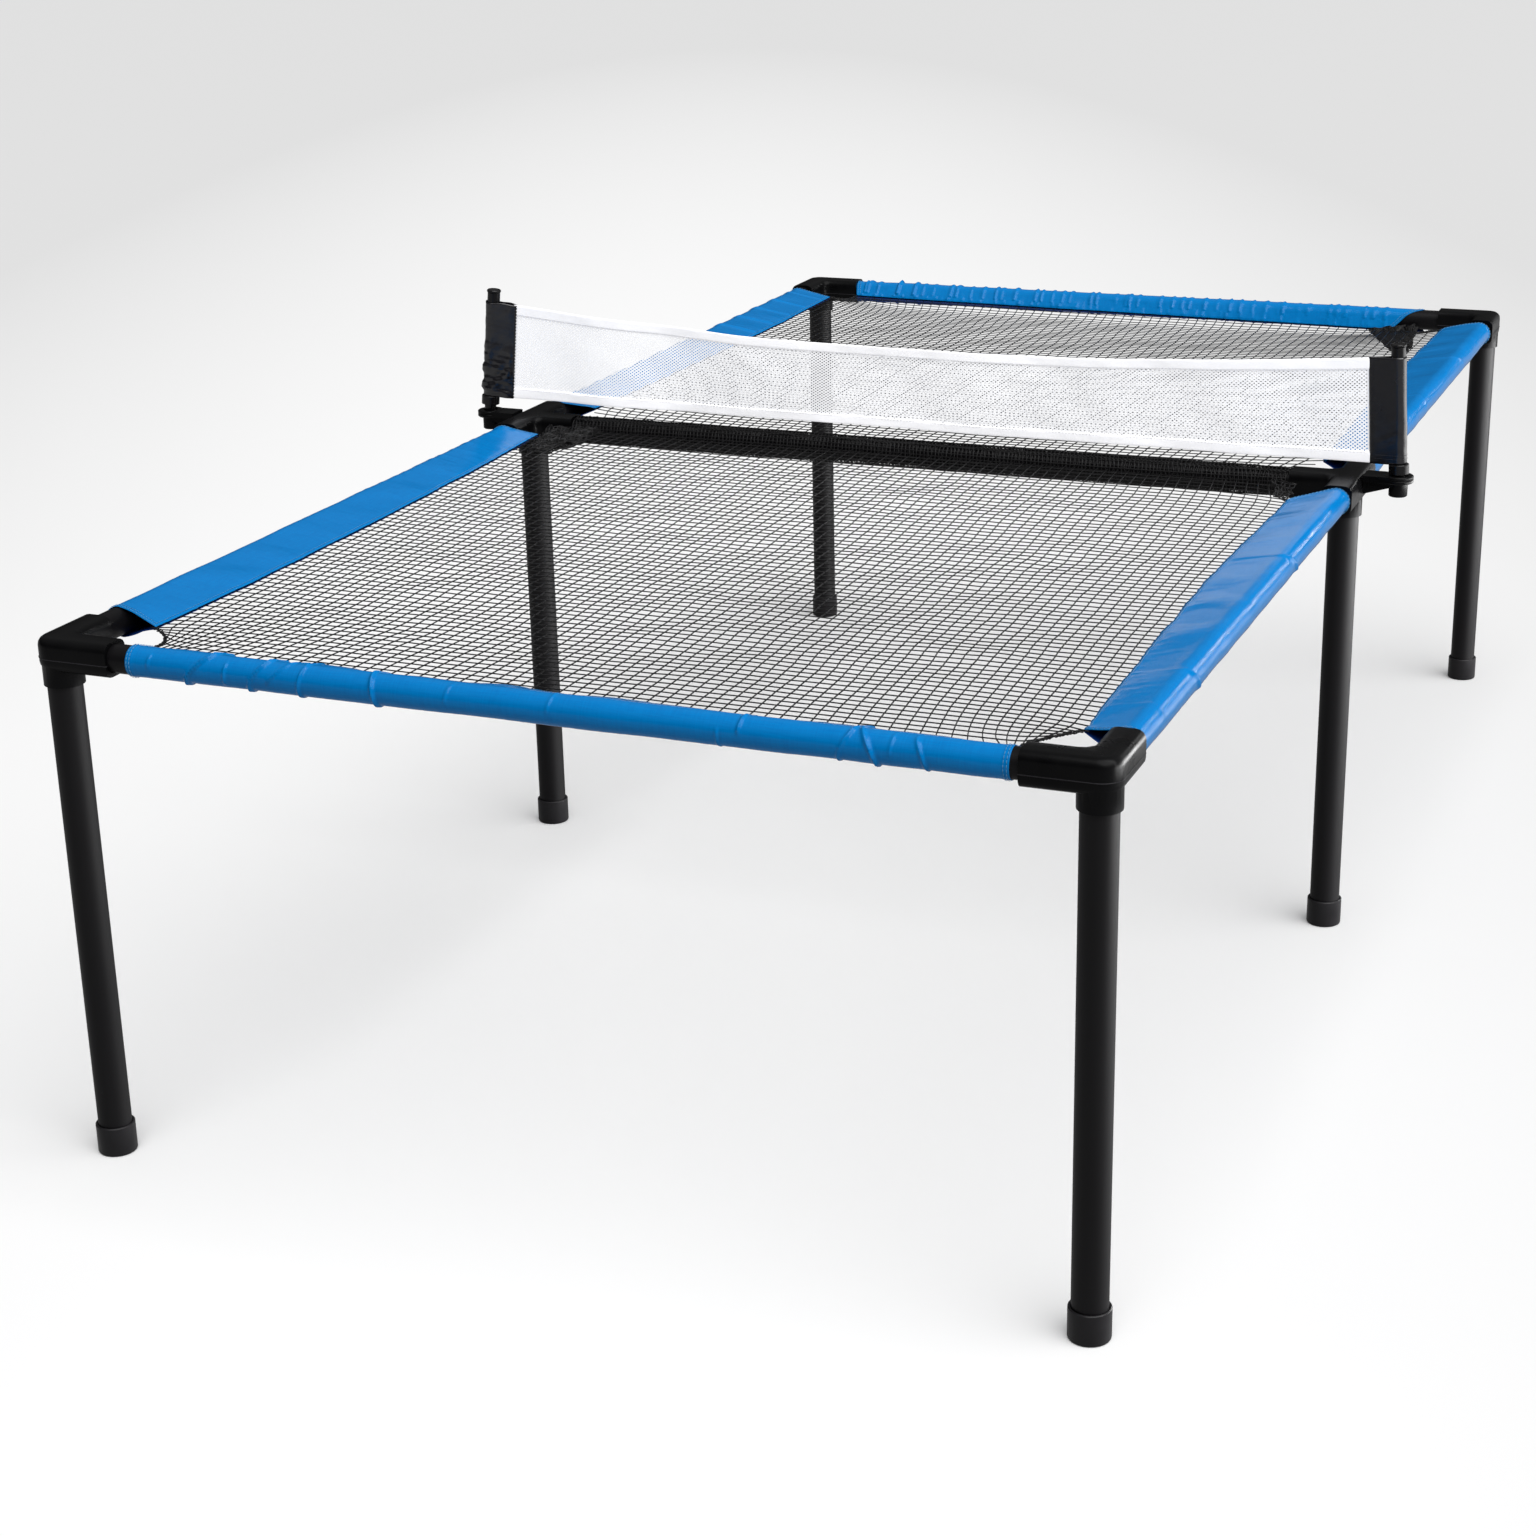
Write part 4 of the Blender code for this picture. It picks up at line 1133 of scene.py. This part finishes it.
def end_sleeve(where, seed, wrinkle, teeth):
    """The black sleeve that holds the net to its post: cloth round the post and back, sewn flat.

    wrinkle is how rough its lower half is, and teeth how deep its pinked edge is cut.
    """
    foot, axis, inward = posts[where]
    radius = 6.35 * MM
    rows = 60
    up = np.linspace(NET_LOW - 0.5 * MM, NET_HIGH + 0.8 * MM, rows)
    turn = np.linspace(math.radians(72), math.radians(288), 30)
    ring = np.stack([radius * np.cos(turn), radius * np.sin(turn)], -1)
    tail = np.linspace(1, 0, 14, endpoint=False)[:, None]
    seam = np.array([NET_END + 1.5 * MM, 0.9 * MM])
    start = seam * tail + ring[0] * (1 - tail)
    end = (seam * (1, -1)) * tail[::-1] + ring[-1] * (1 - tail[::-1])
    outline = np.concatenate([start, ring, end])
    columns = len(outline)
    out = unit(np.gradient(outline, axis=0))[:, ::-1] * (1, -1)
    fold = Ripples(seed, 0.006, 0.022, 14, (0.8, 1.7))
    soft = Ripples(seed + 1, 0.02, 0.06, 8)
    girth = run_along(outline)
    rough = wrinkle * (0.35 + 1.9 * (1 - smoothstep(0.35, 0.62, np.linspace(0, 1, rows))))[:, None]
    lift = rough * MM * np.maximum(0, 0.8 + fold(up[:, None], girth[None])) + 0.15 * MM * (
        1 + soft(up[:, None], girth[None])
    )
    held = np.clip(np.minimum(girth, girth[-1] - girth) / (4 * MM), 0, 1)[None]
    place = outline[None] + out[None] * (lift * held)[..., None]
    place[:, [0, -1], 0] += teeth * (np.arange(rows) % 2)[:, None]
    top = np.linspace(0, 1, rows)[:, None] ** 6
    sag = -wrinkle * 2.2 * MM * top * (1 + np.sin(girth[None] * 260 + seed)) / 2
    points = (
        foot + inward * place[..., :1] + np.array([0.0, 1.0, 0.0]) * place[..., 1:]
        + axis * (up[:, None] + sag)[..., None]
    )
    faces = grid_faces(rows, columns)
    uvs = np.stack(np.broadcast_arrays(girth[None], up[:, None]), -1).reshape(-1, 2)
    name = f"net_sleeve_{where}"
    piece = mesh_object(name + "_cloth", points.reshape(-1, 3), faces, [looks["satin"]], uvs)
    solidified(piece, 0.4 * MM)
    attach(piece, "net", name)
    for tag, row in (("a", 3), ("b", 5)):
        line = points[row, 2:-2] + 0.45 * MM * unit(points[row, 2:-2] - (foot + axis * up[row]))
        stitches(f"{name}_stitches_{tag}", line, "grey_thread", 2.4, 1.8, 0.14,
                               UP, "net", "net_sleeve")


end_sleeve("left", 430, 0.45, 1.1 * MM)
end_sleeve("right", 440, 0.05, 0.0)


# ---------------- floor, lights and camera


AZIMUTH = math.radians(22.98)  # which way the photo looks, from +Y towards -X


def floor():
    """A round pale floor with a painted pool of light round the table and a faint painted glow that only
    the camera sees; it throws only part of its light back up.
    """
    made, tree, shader = new_material("floor_pale", 0.8, Specular_IOR_Level=0.1)
    spot = add(tree, "Mapping", Vector=add(tree, "TexCoord").outputs["Object"],
               Location=(0.19, 0.2, 0.0), Rotation=(0, 0, -AZIMUTH)).outputs["Vector"]
    longer = add(tree, "Mapping", Vector=spot, Scale=(1 / 1.9, 1 / 9, 0.0)).outputs["Vector"]
    # Painted light: a pool of brightness painted round the table.
    painted_light_pool = add(tree, "TexGradient", gradient_type="SPHERICAL", Vector=longer).outputs["Fac"]
    tone = ramp(tree, painted_light_pool, grey(0.68), grey(0.96), 0.1, 0.95)
    seen = add(tree, "LightPath").outputs["Is Camera Ray"]
    # The floor glows faintly for the camera only: painted light.
    feed(tree, shader, Base_Color=mixed(tree, seen, grey(0.42), tone), Emission_Color=tone,
         Emission_Strength=calculated(tree, "MULTIPLY", seen, 0.08))
    made.cycles.emission_sampling = "NONE"
    bumped(tree, shader, noise_of(tree, own_place(tree), 300.0, 2.0), 0.05, 0.2 * MM)
    bm = bmesh.new()
    bmesh.ops.create_circle(bm, cap_ends=True, segments=96, radius=40.0)
    mesh = bpy.data.meshes.new("floor")
    bm.to_mesh(mesh)
    bm.free()
    mesh.materials.append(made)
    obj = linked("floor", mesh)
    return obj


def aimed(light, place, direction):
    """A light's object, at a place and shining in a direction."""
    obj = linked(light.name, light)
    obj.location = place
    obj.rotation_euler = direction.to_track_quat("-Z", "Y").to_euler()
    return obj


def area_light(name, place, target, size, power):
    data = bpy.data.lights.new(name, "AREA")
    data.shape = "RECTANGLE"
    data.size, data.size_y = size
    data.energy = power
    return aimed(data, place, Vector(target) - Vector(place))


SHINED = ("leg_", "foot_", "corner_connector_", "side_connector_", "net_bracket_")


def lights(ground):
    """Sky and soft sun for everything; narrow lights that only put highlights on the table."""
    world = bpy.data.worlds.new("studio")
    scene.world = world
    world.use_nodes = True
    world.cycles.sampling_method = "NONE"
    tree = world.node_tree
    sky = tree.nodes["Background"]
    up = add(tree, "SeparateXYZ", Vector=add(tree, "TexCoord").outputs["Generated"]).outputs["Z"]
    feed(tree, sky, Color=ramp(tree, up, grey(0.03), grey(0.35), 0.22, 0.75))
    backdrop = add(tree, "Background", Color=grey(0.95), Strength=0.72)
    either = add(tree, "MixShader", Fac=add(tree, "LightPath").outputs["Is Camera Ray"])
    tree.links.new(sky.outputs["Background"], either.inputs[1])
    tree.links.new(backdrop.outputs["Background"], either.inputs[2])
    feed(tree, tree.nodes["World Output"], Surface=either.outputs["Shader"])
    sun = bpy.data.lights.new("key", "SUN")
    sun.energy = 2.85
    sun.angle = math.radians(65)
    aimed(sun, (0, 0, 0), Vector((-0.45, 0.35, -1.0)))
    object_only = bpy.data.collections.new("object_only")
    object_only.objects.link(ground)
    for member in object_only.collection_objects:
        member.light_linking.link_state = "EXCLUDE"
    for light in (
        area_light("strip_right", (2.0, -0.6, 1.7), (0.3, -0.2, 0.3), (0.10, 2.6), 16),
        area_light("panel_right", (1.6, 0.8, 0.35), (0.0, 0.2, 0.3), (1.8, 0.7), 12),
        area_light("strip_back", (1.6, 3.4, 1.35), (0.3, -0.2, 0.4), (0.08, 1.2), 6),
    ):
        light.light_linking.receiver_collection = object_only
    plastics = bpy.data.collections.new("plastics")
    for obj in scene.objects:
        if obj.name.startswith(SHINED) and obj.name.endswith("_shape"):
            plastics.objects.link(obj)
    panel = area_light("panel_legs", (1.6, 0.3, 0.25), (0.0, -0.1, 0.2), (2.4, 0.45), 55)
    panel.light_linking.receiver_collection = plastics


def camera():
    data = bpy.data.cameras.new("camera")
    data.lens = 64.95
    data.sensor_width = 36.0
    data.clip_end = 200.0
    obj = linked("camera", data)
    elevation, roll = math.radians(20.01), math.radians(-1.356)
    forward = Vector((
        -math.sin(AZIMUTH) * math.cos(elevation),
        math.cos(AZIMUTH) * math.cos(elevation),
        -math.sin(elevation),
    ))
    turn = forward.to_track_quat("-Z", "Y").to_matrix().to_4x4()
    obj.matrix_world = (
        Matrix.Translation((0.8125, -2.2698, 0.9792)) @ turn @ Matrix.Rotation(roll, 4, "Z")
    )
    scene.camera = obj


lights(floor())
camera()
scene.view_settings.view_transform = "Standard"
